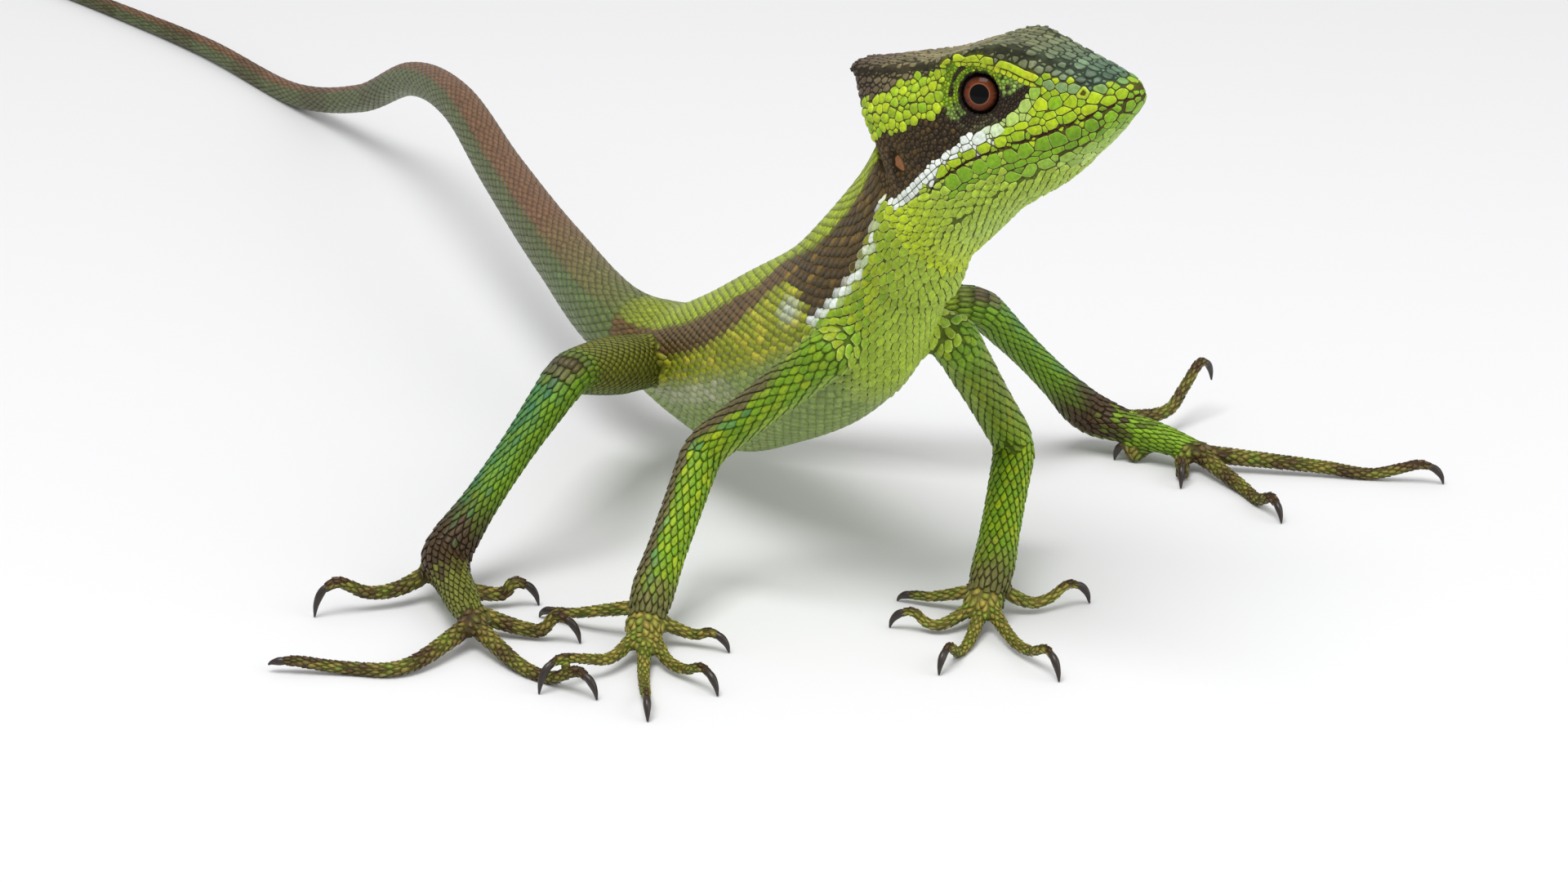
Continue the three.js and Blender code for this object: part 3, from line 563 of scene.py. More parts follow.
def joined_skin(pieces):
    """One closed skin round all the pieces, with soft joins."""
    made = new_mesh("skin", *merged(pieces))
    remesh = made.modifiers.new("one_skin", "REMESH")
    remesh.mode = "VOXEL"
    remesh.voxel_size = SKIN_VOXEL / 1000
    bpy.context.view_layer.objects.active = made
    bpy.context.view_layer.update()
    ready = made.evaluated_get(bpy.context.evaluated_depsgraph_get())
    mesh = bpy.data.meshes.new_from_object(ready)
    made.modifiers.clear()
    made.data = mesh
    return made


def mesh_points(mesh):
    flat = np.empty(len(mesh.vertices) * 3)
    mesh.vertices.foreach_get("co", flat)
    return flat.reshape(-1, 3) * 1000 - POSE_OFFSET


def set_mesh_points(mesh, points):
    mesh.vertices.foreach_set("co", to_part(points).ravel())
    mesh.update()


def mesh_normals(mesh):
    flat = np.empty(len(mesh.vertices) * 3)
    mesh.vertex_normals.foreach_get("vector", flat)
    return flat.reshape(-1, 3)


def edge_ends(mesh):
    flat = np.empty(len(mesh.edges) * 2, np.int64)
    mesh.edges.foreach_get("vertices", flat)
    return flat.reshape(-1, 2).T


def neighbour_count(a, b, n):
    return np.bincount(a, minlength=n) + np.bincount(b, minlength=n)


def neighbour_mean(points, a, b, count):
    """Mean of the neighbours of each point, along the edges from a to b."""
    n = len(points)
    mean = np.empty_like(points)
    for k in range(3):
        total = np.bincount(a, points[b, k], n) + np.bincount(b, points[a, k], n)
        mean[:, k] = total / np.maximum(count, 1)
    return mean


def smoothed(mesh, points, rounds, shrink=0.5, swell=-0.52):
    a, b = edge_ends(mesh)
    count = neighbour_count(a, b, len(points))
    for _ in range(rounds):
        for step in (shrink, swell):
            points = points + (neighbour_mean(points, a, b, count) - points) * step
    return points


def blended(mesh, points, centre, reach, rounds=50):
    """Softens the skin where a limb grows out of the trunk."""
    a, b = edge_ends(mesh)
    off_centre = np.linalg.norm(points - centre, axis=1)
    near = off_centre < reach
    chosen = near[a] & near[b]
    a, b = a[chosen], b[chosen]
    count = neighbour_count(a, b, len(points))
    share = np.clip(1.4 * (1 - off_centre / reach), 0, 0.7)[:, None] * (count > 0)[:, None]
    for _ in range(rounds):
        points = points + (neighbour_mean(points, a, b, count) - points) * share
    return points


def ramp(value, low, high):
    t = np.clip((value - low) / (high - low), 0, 1)
    return t * t * (3 - 2 * t)


def opened(points):
    """Opens the lids, the line of the mouth and the ears."""
    h = in_head(points)
    side = np.sign(h[:, 1])
    local = eye_local(h)
    ring = np.hypot(local[:, 0], local[:, 2])
    sunk = (1 - ramp(ring, LID_GAP - 0.05, LID_GAP + 0.3)) * (local[:, 1] > -1.2)
    local[:, 1] -= (local[:, 1] - 0.6) * sunk
    near = (sunk > 0) & (np.abs(h[:, 1]) > 2)
    h[near] = from_eye(local, side)[near]
    y = np.abs(h[:, 1])
    off_mouth = np.abs(h[:, 2] - mouth_height(h[:, 0]))
    in_front = (h[:, 0] < MOUTH_CORNER + 0.5) & (h[:, 0] > -1)
    y = y - 0.22 * (1 - ramp(off_mouth, 0.0, 0.35)) * in_front
    ear = np.hypot((h[:, 0] - EAR[0]) / 1.0, (h[:, 2] - EAR[1]) / 1.9)
    y = y - 0.45 * (1 - ramp(ear, 0.7, 1.15)) * (y > 3)
    h[:, 1] = np.maximum(y, 0) * side
    return from_head(h)


TRUNK = trunk_tube()
THROAT = throat_tube()
TAIL = tail_tube()
LIMB_TUBES = {name: limb_tubes(name) for name in LIMBS}


def make_skin():
    pieces = [TRUNK.mesh(48), THROAT.mesh(40), TAIL.mesh(20), head_mesh()]
    for side in (-1, 1):
        points, faces = ball_mesh(np.zeros(3), LID_RADII)
        pieces.append((from_head(from_eye(points, side)), [face[::side] for face in faces]))
    for limb, digits, (centre, radii) in LIMB_TUBES.values():
        pieces.append(limb.mesh(24))
        pieces.append(ball_mesh(centre, radii, 16, 10))
        pieces += [flesh.mesh(14) for flesh, _ in digits]
    skin = joined_skin(pieces)
    points = smoothed(skin.data, mesh_points(skin.data), 8)
    for limb, _, _ in LIMB_TUBES.values():
        root = sum(limb.at(LIMB_ROOT, turn)[0] for turn in (0, math.pi)) / 2
        points = blended(skin.data, points, root, 9)
    set_mesh_points(skin.data, points)
    points -= mesh_normals(skin.data) * SKIN_DEPTH
    points = opened(points)
    points[:, 2] = np.maximum(points[:, 2], 0.02)
    set_mesh_points(skin.data, points)
    return skin


skin = make_skin()

# Scales: each is a small raised plate on the skin, cut off where its neighbours begin

# Facets round the plate, height, lift of its free edge, dome, seam, overlap of its free edge, furthest
# reach to its sides and into its corners as shares of its size, and rings.
STYLES = {
    "tile": (8, 0.04, 0.07, 0.05, 0.03, 0.3, 1.25, 1.25, (1, 0)),
    "digit": (8, 0.04, 0.14, 0.06, 0.03, 0.35, 1.25, 1.25, (1, 0)),
    "gular": (12, 0.06, 0.24, 0.2, 0.11, 0.16, 1.35, 1.35, (1, 0.74, 0)),
    "arm": (12, 0.05, 0.18, 0.12, 0.1, 0.3, 1.25, 1.25, (1, 0.7, 0)),
    "plate": (20, 0.08, 0.0, 0.07, 0.11, 0, 1.8, 1.8, (1, 0.86, 0.5, 0)),
    "shield": (24, 0.08, 0.0, 0.06, 0.11, 0, 1.06, 1.42, (1, 0.88, 0.5, 0)),
    "nasal": (20, 0.1, 0.0, 0.05, 0.1, 0, 1.4, 1.4, (1, 0.5, 0.38, 0)),
    "brow": (20, 0.2, 0.0, 0.08, 0.07, 0, 1.04, 1.4, (1, 0.8, 0)),
    "roof": (12, 0.1, 0.05, 0.1, 0.2, 0.0, 1.5, 1.5, (1, 0.78, 0)),
    "pebble": (12, 0.05, 0.03, 0.24, 0.1, 0, 1.4, 1.4, (1, 0.78, 0.45, 0)),
    "grain": (7, 0.03, 0.0, 0.12, 0.06, 0, 1.3, 1.3, (1, 0)),
}
STYLE_NAMES = list(STYLES)
REGIONS = [
    "roof", "face", "temple", "orbit", "dark", "stripe", "chin", "gular", "brow", "canthal", "labial",
    "lower_labial", "nasal", "ear", "throat", "trunk", "tail", "arm", "leg", "finger", "toe",
]

# Regions of the head with large plates.
PLATED = ("face", "temple", "labial", "lower_labial", "chin", "stripe", "brow", "nasal", "canthal")

# Columns of a table of scales.
PLACE, LIE = slice(0, 3), slice(3, 6)
LONG, WIDE, STYLE, REGION, SHARE, TURN, SHEET = range(6, 13)
NEIGHBOURS = 12

# Sheets of the unwrap: head, trunk, tail, four limbs and twenty digits, as left, low, width and height.
SHEETS = [(0.01, 0.5, 0.48, 0.49), (0.01, 0.01, 0.48, 0.48), (0.5, 0.8, 0.49, 0.19)]
SHEETS += [(0.5 + 0.123 * k, 0.45, 0.115, 0.33) for k in range(4)]
SHEETS += [(0.5 + 0.049 * (k % 10), 0.02 + 0.21 * (k // 10), 0.044, 0.2) for k in range(20)]
LEFT_SHEETS = (4, 6)


class Scales:
    """Scales: place, way to the free edge, half length and width, style, region and place on its sheet."""

    def __init__(self):
        self.rows = []

    def add(self, place, lie, long, wide, style, region, share=0.5, turn=0.5, sheet=0):
        place = np.atleast_2d(place)
        n = len(place)
        full = lambda v: np.broadcast_to(np.asarray(v, float), (n,))
        kinds = full(STYLE_NAMES.index(style)), full(REGIONS.index(region))
        columns = [full(long), full(wide), *kinds, full(share), full(turn), full(sheet)]
        self.rows.append(np.column_stack([place, np.broadcast_to(lie, (n, 3)), *columns]))

    def table(self):
        return np.vstack(self.rows)


class Surface:
    """Nearest places on the skin."""

    def __init__(self, mesh):
        self.points = mesh_points(mesh)
        mesh.calc_loop_triangles()
        flat = np.empty(len(mesh.loop_triangles) * 3, np.int64)
        mesh.loop_triangles.foreach_get("vertices", flat)
        self.triangles = flat.reshape(-1, 3)
        self.tree = BVHTree.FromPolygons(self.points.tolist(), self.triangles.tolist())

    def nearest(self, points):
        found = [self.tree.find_nearest(p) for p in points]
        places = np.array([f[0] for f in found])
        normals = np.array([f[1] for f in found])
        return places, normals, np.array([f[3] for f in found])

    def spread(self, count, draw, chosen=None):
        """Random places on the skin, where chosen(middle of each triangle) is true."""
        corner = self.points[self.triangles]
        area = np.linalg.norm(np.cross(corner[:, 1] - corner[:, 0], corner[:, 2] - corner[:, 0]), axis=1)
        if chosen is not None:
            area = area * chosen(corner.mean(1))
        c = corner[draw.choice(len(corner), count, p=area / area.sum())]
        a, b = draw.random((2, count, 1))
        a, b = np.where(a + b > 1, 1 - a, a), np.where(a + b > 1, 1 - b, b)
        return c[:, 0] + a * (c[:, 1] - c[:, 0]) + b * (c[:, 2] - c[:, 0])


def kd_tree(points):
    tree = KDTree(len(points))
    for i, p in enumerate(points):
        tree.insert(p, i)
    tree.balance()
    return tree


def tube_rows(scales, tube, start, end, pitch, across, style, region, sheet, backward=False, below=2.0):
    """Staggered, slightly uneven rows of scales round a tube, up to a height of its section."""
    count = max(2, round((end - start) * tube.length / pitch))
    for k, t in enumerate(np.linspace(start, end, count)):
        n = across(t) if callable(across) else across
        turn = 2 * np.pi * (np.arange(n) + 0.5 * (k % 2)) / n
        turn = turn[np.sin(turn) < below] + random.normal(0, 0.3 / n, n)[np.sin(turn) < below]
        place, _, forward = tube.at(t + random.normal(0, 0.06, len(turn)) * pitch / tube.length, turn)
        wide = tube_girth(tube, t) / n / 2
        lie = -forward if backward else forward
        scales.add(place, lie, pitch, wide * 1.05, style, region, t, turn / (2 * np.pi) % 1, sheet)


def tube_girth(tube, t):
    ring = tube.at(t, 2 * np.pi * np.arange(24) / 24)[0]
    return np.linalg.norm(ring - np.roll(ring, 1, 0), axis=1).sum()


def neighbours(place, out):
    """The nearest scales of each scale, and which of them face the same way."""
    tree = kd_tree(place)
    near = np.tile(np.arange(len(place))[:, None], (1, NEIGHBOURS))
    for i, p in enumerate(place):
        found = [j for _, j, _ in tree.find_n(p, NEIGHBOURS + 1) if j != i][:NEIGHBOURS]
        near[i, : len(found)] = found
    facing = np.einsum("nkc,nc->nk", out[near], out) > -0.1
    return near, facing & (near != np.arange(len(place))[:, None])


def cells(table, out, near, usable, index, facets, seam, to_sides, to_corners):
    """How far some scales reach in each of their directions before their neighbours begin."""
    near, usable = near[index], usable[index]
    place, lie, long, wide = (table[:, c] for c in (PLACE, LIE, LONG, WIDE))
    across = np.cross(out, lie)
    own_lie, own_across, own_long, own_wide = lie[index], across[index], long[index, None], wide[index, None]
    d = place[near] - place[index][:, None]
    du, dv = np.einsum("nkc,nc->nk", d, own_lie), np.einsum("nkc,nc->nk", d, own_across)
    flat = np.hypot(du, dv) + 1e-9
    eu, ev = du / flat, dv / flat
    own = 1 / np.sqrt((eu / own_long) ** 2 + (ev / own_wide) ** 2)
    e3 = eu[..., None] * own_lie[:, None] + ev[..., None] * own_across[:, None]
    ju, jv = np.einsum("nkc,nkc->nk", e3, lie[near]), np.einsum("nkc,nkc->nk", e3, across[near])
    jl, jw = long[near], wide[near]
    other = 1 / np.sqrt((ju / jl) ** 2 + (jv / jw) ** 2 + 1e-9)
    reach = flat * own / (own + other)
    m3 = lie[near] * (ju / jl**2)[..., None] + across[near] * (jv / jw**2)[..., None]
    nu = eu / own_long**2 + np.einsum("nkc,nc->nk", m3, own_lie)
    nv = ev / own_wide**2 + np.einsum("nkc,nc->nk", m3, own_across)
    size = np.hypot(nu, nv) + 1e-9
    nu, nv = nu / size, nv / size
    cut = reach * (nu * eu + nv * ev) - seam / 2
    turn = 2 * np.pi * np.arange(facets) / facets
    ru, rv = own_long * np.cos(turn), own_wide * np.sin(turn)
    toward = nu[..., None] * ru[:, None] + nv[..., None] * rv[:, None]
    met = cut[..., None] / np.maximum(toward, 1e-6)
    share = np.where(usable[..., None] & (toward > 1e-6), met, to_corners)
    limit = np.minimum(to_corners, to_sides / np.maximum(np.abs(np.cos(turn)), np.abs(np.sin(turn))))
    share = np.clip(share.min(1), 0.05, limit)
    return ru * share, rv * share


def flattened(lie, out):
    return unit(lie - np.einsum("nc,nc->n", lie, out)[:, None] * out)


def kept_apart(table, share=0.62):
    """Drops each scale that starts on top of one that comes earlier in the table."""
    place, reach = table[:, PLACE], np.minimum(table[:, LONG], table[:, WIDE])
    tree = kd_tree(place)
    keep = np.ones(len(table), bool)
    for i, p in enumerate(place):
        if not keep[i]:
            continue
        for _, j, gap in tree.find_range(p, share * (reach[i] + 1.2)):
            if j > i and keep[j] and gap < share * (reach[i] + reach[j]):
                keep[j] = False
    return table[keep]


def on_the_skin(surface, table, reach):
    """Puts scales on the skin and drops those that lie inside another part of the body."""
    place, out, gap = surface.nearest(table[:, PLACE])
    table = table[gap < reach].copy()
    place, out = place[gap < reach], out[gap < reach]
    table[:, PLACE] = place
    table[:, LIE] = flattened(table[:, LIE], out)
    return table


def filled(table, points, sizes):
    """Which of the points have room for a scale of the given size beside the table's and each other."""
    cell = 1.3
    grid = {}
    at = lambda p: (int(p[0] // cell), int(p[1] // cell), int(p[2] // cell))

    def store(p, r):
        grid.setdefault(at(p), []).append((p[0], p[1], p[2], r))

    reach = table[:, LONG] * 0.4 + table[:, WIDE] * 0.55
    for p, r in zip(table[:, PLACE].tolist(), reach.tolist()):
        store(p, r)
    around = [(i, j, k) for i in (-1, 0, 1) for j in (-1, 0, 1) for k in (-1, 0, 1)]
    chosen = []
    for n, (p, r) in enumerate(zip(points.tolist(), sizes.tolist())):
        a, b, c = at(p)
        free = True
        for i, j, k in around:
            for x, y, z, q in grid.get((a + i, b + j, c + k), ()):
                if (p[0] - x) ** 2 + (p[1] - y) ** 2 + (p[2] - z) ** 2 < (0.9 * (r + q)) ** 2:
                    free = False
                    break
            if not free:
                break
        if free:
            store(p, r)
            chosen.append(n)
    return np.array(chosen, int)


# Areas and rows of plates of the head

ROOF_LINE = [
    (-1, 1.4), (0, 1.7), (2.6, 2.9), (4.8, 4.2), (6.6, 5.3), (9.1, 7.0), (10.3, 7.9), (12.6, 10.7),
    (14.6, 12.2), (17.4, 13.3), (19.9, 13.4), (21.7, 12.8), (24.3, 13.2), (27, 13.4), (31.6, 13.0),
    (35.1, 13.9), (40, 14),
]
STRIPE_LINE = [
    (9.5, 6.0), (10.4, 5.5), (12.2, 4.5), (13.8, 3.6), (16.6, 3.25), (19.3, 3.2), (22.7, 3.2), (24.6, 3.0),
    (28.9, 2.2), (32.8, 1.2), (38, 0.4),
]
STRIPE_WIDTH = [(12, 0.65), (15, 0.75), (20, 0.85), (24, 0.6), (30, 0.45), (38, 0.5)]
ORBIT_LOW = [
    (10.4, 6.3), (13.2, 4.7), (15.5, 4.2), (18, 4.05), (20.3, 4.35), (21.7, 5.6), (22.5, 7.1), (22.8, 8.6),
]
ORBIT_TOP = [
    (10.4, 6.4), (11.9, 7.2), (13.3, 8.6), (14.9, 10), (16.6, 11.3), (18.3, 12), (20.3, 12.2), (21.6, 11),
    (22.4, 9.6), (22.8, 8.7),
]
DARK_TOP = [(20, 5.2), (22.5, 8.2), (24, 8.1), (26.7, 7.8), (31.1, 8.2), (34.8, 8.2), (38, 8)]
HEAD_GRAIN = {
    "face": (0.85, 0.72, "plate"), "temple": (0.66, 0.62, "pebble"), "orbit": (0.27, 0.24, "grain"),
    "dark": (0.42, 0.4, "grain"), "stripe": (0.5, 0.45, "plate"), "gular": (0.6, 0.52, "gular"),
    "chin": (1.0, 0.8, "plate"), "roof": (0.62, 0.48, "roof"),
}


def line_at(rows, s):
    rows = np.array(rows, float)
    return np.interp(s, rows[:, 0], rows[:, 1])


def head_area(h):
    """Name of the area of the head that each place lies in."""
    s, y, z = h[:, 0], np.abs(h[:, 1]), h[:, 2]
    orbit = (z > line_at(ORBIT_LOW, s)) & (z < line_at(ORBIT_TOP, s)) & (s > 10.4) & (s < 22.8)
    stripe = (np.abs(z - line_at(STRIPE_LINE, s)) < line_at(STRIPE_WIDTH, s)) & (s > 9.5)
    dark = (z < line_at(DARK_TOP, s)) & (z > line_at(STRIPE_LINE, s)) & (s > 20)
    roof = (z > line_at(ROOF_LINE, s)) | ((y < 3.6) & (z > 5 + np.maximum(s - 20, 0) * 0.5))
    below = z < np.where(s < MOUTH_CORNER, mouth_height(s), 1.2 - (s - MOUTH_CORNER) * 0.1)
    area = np.full(len(h), "face", object)
    area[s > 21.5] = "temple"
    area[orbit] = "orbit"
    area[dark & ~orbit] = "dark"
    area[stripe] = "stripe"
    area[below] = "gular"
    area[below & (s < 17) & (z > -4.6)] = "chin"
    area[roof] = "roof"
    return area


def head_side(s, z):
    """Distance from the middle plane to the side of the head at a height."""
    ring = head_ring(s)[:14]
    best = 0.3
    for (_, ya, za), (_, yb, zb) in zip(ring, ring[1:]):
        if (za - z) * (zb - z) <= 0 and za != zb:
            best = max(best, ya + (yb - ya) * (z - za) / (zb - za))
    return best


def head_row(scales, line, count, long, wide, style, region):
    """Plates along a line of places and heights, on both sides; sizes may change along it."""
    line = np.array(line, float)
    length = distances(line)
    shares = (np.arange(count) + 0.5) / count
    stops = shares * length[-1]
    s = np.interp(stops, length, line[:, 0])
    z = np.interp(stops, length, line[:, 1])
    slope = np.interp(stops, (length[1:] + length[:-1]) / 2, np.diff(line[:, 1]) / np.diff(line[:, 0]))
    pick = lambda v, t: v[0] + (v[1] - v[0]) * t if isinstance(v, tuple) else v
    for side in (-1, 1):
        for k in range(count):
            place = from_head([s[k], side * head_side(s[k], z[k]), z[k]])
            lie = unit(np.array([1, 0, slope[k]]) @ HEAD_AXES)
            scales.add(place, lie, pick(long, shares[k]), pick(wide, shares[k]), style, region)


def beside_mouth(start, end, height):
    return [(s, float(mouth_height(s)) + height) for s in np.linspace(start, end, 24)]


def lid_rings(scales):
    """Rings of grains round the opening of the eye."""
    for side in (-1, 1):
        radius = LID_GAP + 0.35
        while radius < 3.75:
            count = int(2 * np.pi * radius / 0.44)
            a = 2 * np.pi * (np.arange(count) + 0.5 * (round(radius * 10) % 2)) / count
            bulge = LID_RADII[1] * math.sqrt(max(0.02, 1 - (radius / LID_RADII[0]) ** 2))
            local = np.column_stack([radius * np.cos(a), np.full(count, bulge), radius * np.sin(a) * 0.95])
            place = from_eye(local, side)
            place[:, 1] = side * np.maximum(np.abs(place[:, 1]), [head_side(s, z) for s, _, z in place])
            along_ring = np.column_stack([-np.sin(a), np.zeros(count), np.cos(a)])
            lie = (from_eye(along_ring, side) - from_eye(np.zeros((count, 3)), side)) @ HEAD_AXES
            scales.add(from_head(place), unit(lie), 0.27, 0.19, "grain", "orbit")
            radius += 0.36


def gular_rows(scales, draw):
    """Overlapping scales under the jaws, in staggered rows."""
    gap = 1.1
    for k, s in enumerate(np.arange(12.5, 34, 0.98)):
        ring = head_ring(s)[:14][::-1]
        length = distances(ring)
        limit = float(mouth_height(s)) - (4.4 if s < 17 else 2.4) if s < MOUTH_CORNER else 0.8
        for j in range(14):
            at = (j + 0.5 * (k % 2)) * gap
            point = np.array([np.interp(at, length, ring[:, c]) for c in range(3)])
            if point[2] > limit:
                break
            for side in (-1, 1) if point[1] > 0.2 else (1,):
                lie = unit(np.array([1, 0, -0.1]) @ HEAD_AXES)
                point = point + draw.normal(0, 0.1, 3)
                scales.add(from_head(point * [1, side, 1]), lie, 1.0, 0.6, "gular", "gular")


def roof_rows(scales, draw):
    """Rows of scales on the flat top of the head, from its edges to the middle, longest on the snout."""
    s, odd = 1.0, False
    while s < CASQUE_END:
        _, top, edge_y, edge_z = along(HEAD_SECTIONS, s)[:4]
        gap = 1.1 if s < 12 else 0.92
        step = 1.35 if s < 12 else 1.1
        y = edge_y - gap * 0.5 * odd
        while y > gap * 0.3:
            z = top + (edge_z - top) * min(1, y / edge_y)
            for side in (-1, 1):
                shake = draw.normal(0, 0.11, 2)
                place = from_head([s + shake[0], side * y + shake[1], z])
                scales.add(place, -HEAD_FORWARD, step * 0.72, gap * 0.58, "roof", "roof")
            y -= gap
        s += step
        odd = not odd


def plates_at(scales, places, style, region):
    """Plates of the side of the head, each with its place, half length, half width and slope."""
    for side in (-1, 1):
        for s, z, long, wide, slope in places:
            place = from_head([s, side * head_side(s, z), z])
            scales.add(place, unit(np.array([1, 0, slope]) @ HEAD_AXES), long, wide, style, region)


# The pale plates below the eye: place back and up, half length, half width, slope.
BELOW_EYE = [
    (10.6, 5.4, 1.2, 0.7, -0.6), (12.4, 4.35, 1.15, 0.7, -0.5), (14.4, 3.6, 1.25, 0.7, -0.25),
    (16.9, 3.25, 1.35, 0.68, -0.1), (19.5, 3.2, 1.3, 0.75, 0), (21.5, 3.85, 0.75, 0.5, 0.3),
    (21.6, 2.85, 0.8, 0.42, 0), (23.2, 3.2, 0.85, 0.42, -0.1), (24.8, 3.05, 0.8, 0.38, -0.15),
    (23.6, 2.45, 0.8, 0.35, -0.05),
]


def head_scales(scales, draw):
    plates_at(scales, BELOW_EYE, "shield", "stripe")
    head_row(scales, beside_mouth(1.5, 27.5, 0.75), 11, (1.15, 1.25), (0.52, 0.62), "shield", "labial")
    head_row(scales, beside_mouth(2.2, 26.5, -1.12), 11, (1.05, 1.25), (0.75, 0.92), "shield", "lower_labial")
    head_row(scales, [(4.4, 2.8), (5.6, 2.8)], 1, 0.8, 0.75, "nasal", "nasal")
    head_row(scales, [(31.8, 4.7), (33, 4.7)], 1, 0.8, 1.5, "plate", "ear")
    head_row(scales, [(25.6, 2.9), (28.9, 2.1), (32.8, 1.2), (36, 0.7)], 10, 0.66, 0.38, "shield", "stripe")
    head_row(scales, [(25.4, 2.15), (28.9, 1.45), (32.8, 0.5), (36, 0.0)], 10, 0.64, 0.36, "shield", "stripe")
    head_row(scales, beside_mouth(7, 24, 1.8), 9, 0.98, 0.42, "shield", "labial")
    head_row(scales, beside_mouth(3, 27, -2.42), 14, 0.88, 0.38, "shield", "lower_labial")
    head_row(scales, beside_mouth(2, 19, -3.6), 7, 1.25, 0.85, "shield", "chin")
    brow = [(9.6, 6.5), (10.9, 7.6), (12.4, 9.2), (13.9, 10.5), (15.5, 11.75), (18.1, 12.95), (20.6, 13.3)]
    head_row(scales, brow, 7, 1.22, 0.42, "brow", "brow")
    head_row(scales, [(s + 0.7, z - 0.65) for s, z in brow[:-1]], 13, 0.5, 0.25, "plate", "brow")
    head_row(scales, [(2.2, 2.1), (3.7, 2.8), (6.5, 4.1), (9.2, 5.8)], 5, 0.9, 0.55, "plate", "canthal")
    lid_rings(scales)
    roof_rows(scales, draw)
    gular_rows(scales, draw)


def head_fill(surface, table, draw, size):
    """Scales of the size that each area of the head has, wherever no row lies."""
    def on_head(p):
        h = in_head(p)
        return (h[:, 0] < 36.6) & (np.abs(h[:, 1]) < 9) & (h[:, 2] > -10)

    points = surface.spread(70000, draw, on_head)
    areas = head_area(in_head(points))
    grain = np.array([HEAD_GRAIN[a][:2] for a in areas])
    chosen = filled(table, points, (grain[:, 0] * 0.4 + grain[:, 1] * 0.6) * size)
    more = Scales()
    for name, (long, wide, style) in HEAD_GRAIN.items():
        index = chosen[areas[chosen] == name]
        if len(index):
            more.add(points[index], -HEAD_FORWARD, long * size, wide * size, style, name)
    return more.table()


def body_fill(surface, table, draw):
    """Scales like the nearest ones, wherever the rows leave skin bare."""
    points = surface.spread(90000, draw)
    tree = kd_tree(table[:, PLACE])
    near = np.array([tree.find(p)[1] for p in points])
    like = table[near]
    chosen = filled(table, points, (like[:, LONG] * 0.4 + like[:, WIDE] * 0.6) * 0.72)
    more = like[chosen].copy()
    more[:, LONG] *= 0.8
    more[:, WIDE] *= 0.85
    more[:, PLACE] = points[chosen]
    return more


def body_scales(scales):
    tube_rows(scales, THROAT, 0.25, 1.0, 1.15, 34, "gular", "throat", 1, below=0.15)
    tube_rows(scales, TRUNK, 0.02, 0.97, 1.15, 48, "tile", "trunk", 1, backward=True)
    for n, (name, (limb, digits, _)) in enumerate(LIMB_TUBES.items()):
        is_arm = name.startswith("arm")
        if is_arm:
            tube_rows(scales, limb, 0.1, 0.5, 1.25, 16, "arm", "arm", 3 + n)
            tube_rows(scales, limb, 0.524, 0.97, 1.15, 16, "arm", "arm", 3 + n)
        else:
            tube_rows(scales, limb, 0.06, 0.45, 1.15, 22, "tile", "leg", 3 + n)
            tube_rows(scales, limb, 0.464, 0.97, 1.15, 18, "arm", "leg", 3 + n)
        for k, (flesh, _) in enumerate(digits):
            region = "finger" if is_arm else "toe"
            tube_rows(scales, flesh, 0.05, 0.985, 0.78, 7, "digit", region, 7 + n * 5 + k)
    tube_rows(scales, TAIL, 0.02, 0.3, 1.35, lambda t: int(30 - 34 * t), "tile", "tail", 2)
    tube_rows(scales, TAIL, 0.3035, 0.995, 1.5, lambda t: max(8, int(22 - 15 * t)), "tile", "tail", 2)


# Markings, and the painted shade round the eyes and between the scales


def ink(red, green, blue):
    """Linear colour of an sRGB colour given from 0 to 255."""
    c = np.array([red, green, blue]) / 255
    return np.where(c > 0.04045, ((c + 0.055) / 1.055) ** 2.4, c / 12.92)


LIME = ink(172, 194, 20)
LEAF = ink(122, 166, 20)
DEEP_GREEN = ink(84, 130, 22)
PALE_GREEN = ink(166, 194, 96)
THROAT_GREEN = ink(152, 180, 50)
BELLY = ink(142, 164, 84)
TEAL = ink(62, 124, 82)
WHITE = ink(226, 234, 228)
CREAM = ink(184, 188, 150)
UMBER = ink(74, 54, 26)
BROWN = ink(108, 84, 46)
RUST = ink(122, 88, 60)
SLATE = ink(104, 108, 74)
STONE = ink(128, 118, 82)
TURQUOISE = ink(86, 112, 88)
OLIVE = ink(108, 112, 38)
SEAM = ink(58, 34, 16)
PALE_EDGE = ink(206, 214, 120)
CASQUE_BROWN = ink(86, 72, 54)
NOSTRIL_RIM = ink(70, 16, 12)
# Painted shade in the pit of a nostril.
NOSTRIL_SHADE = ink(50, 10, 8)
# Painted shade in the line of the mouth and in the opening of the lids.
MOUTH_SHADE = ink(52, 22, 14)
LID_SHADE = ink(20, 12, 8)


def mixed(a, b, share):
    share = np.clip(share, 0, 1)[:, None]
    return a * (1 - share) + b * share


# Degrees down from the back by share of the trunk: upper and lower edge of the dark band, and the white
# line of the neck.
BAND_TOP = [
    (0, 50), (0.175, 54), (0.32, 57), (0.455, 54), (0.56, 48), (0.62, 38), (0.7, 46), (0.775, 54),
    (0.855, 57), (0.94, 60), (1, 63),
]
BAND_LOW = [
    (0.1, 82), (0.215, 87), (0.37, 86), (0.47, 80), (0.58, 63), (0.66, 60), (0.7, 74), (0.73, 96), (1, 97),
]
NECK_LINE = [
    (0.7, 98), (0.795, 100), (0.83, 102), (0.865, 103), (0.895, 105), (0.925, 103), (0.95, 100), (1, 96),
]


def degrees_down(turn):
    """Degrees down from the back of a turn round the body."""
    return np.abs((turn - 90 + 180) % 360 - 180)


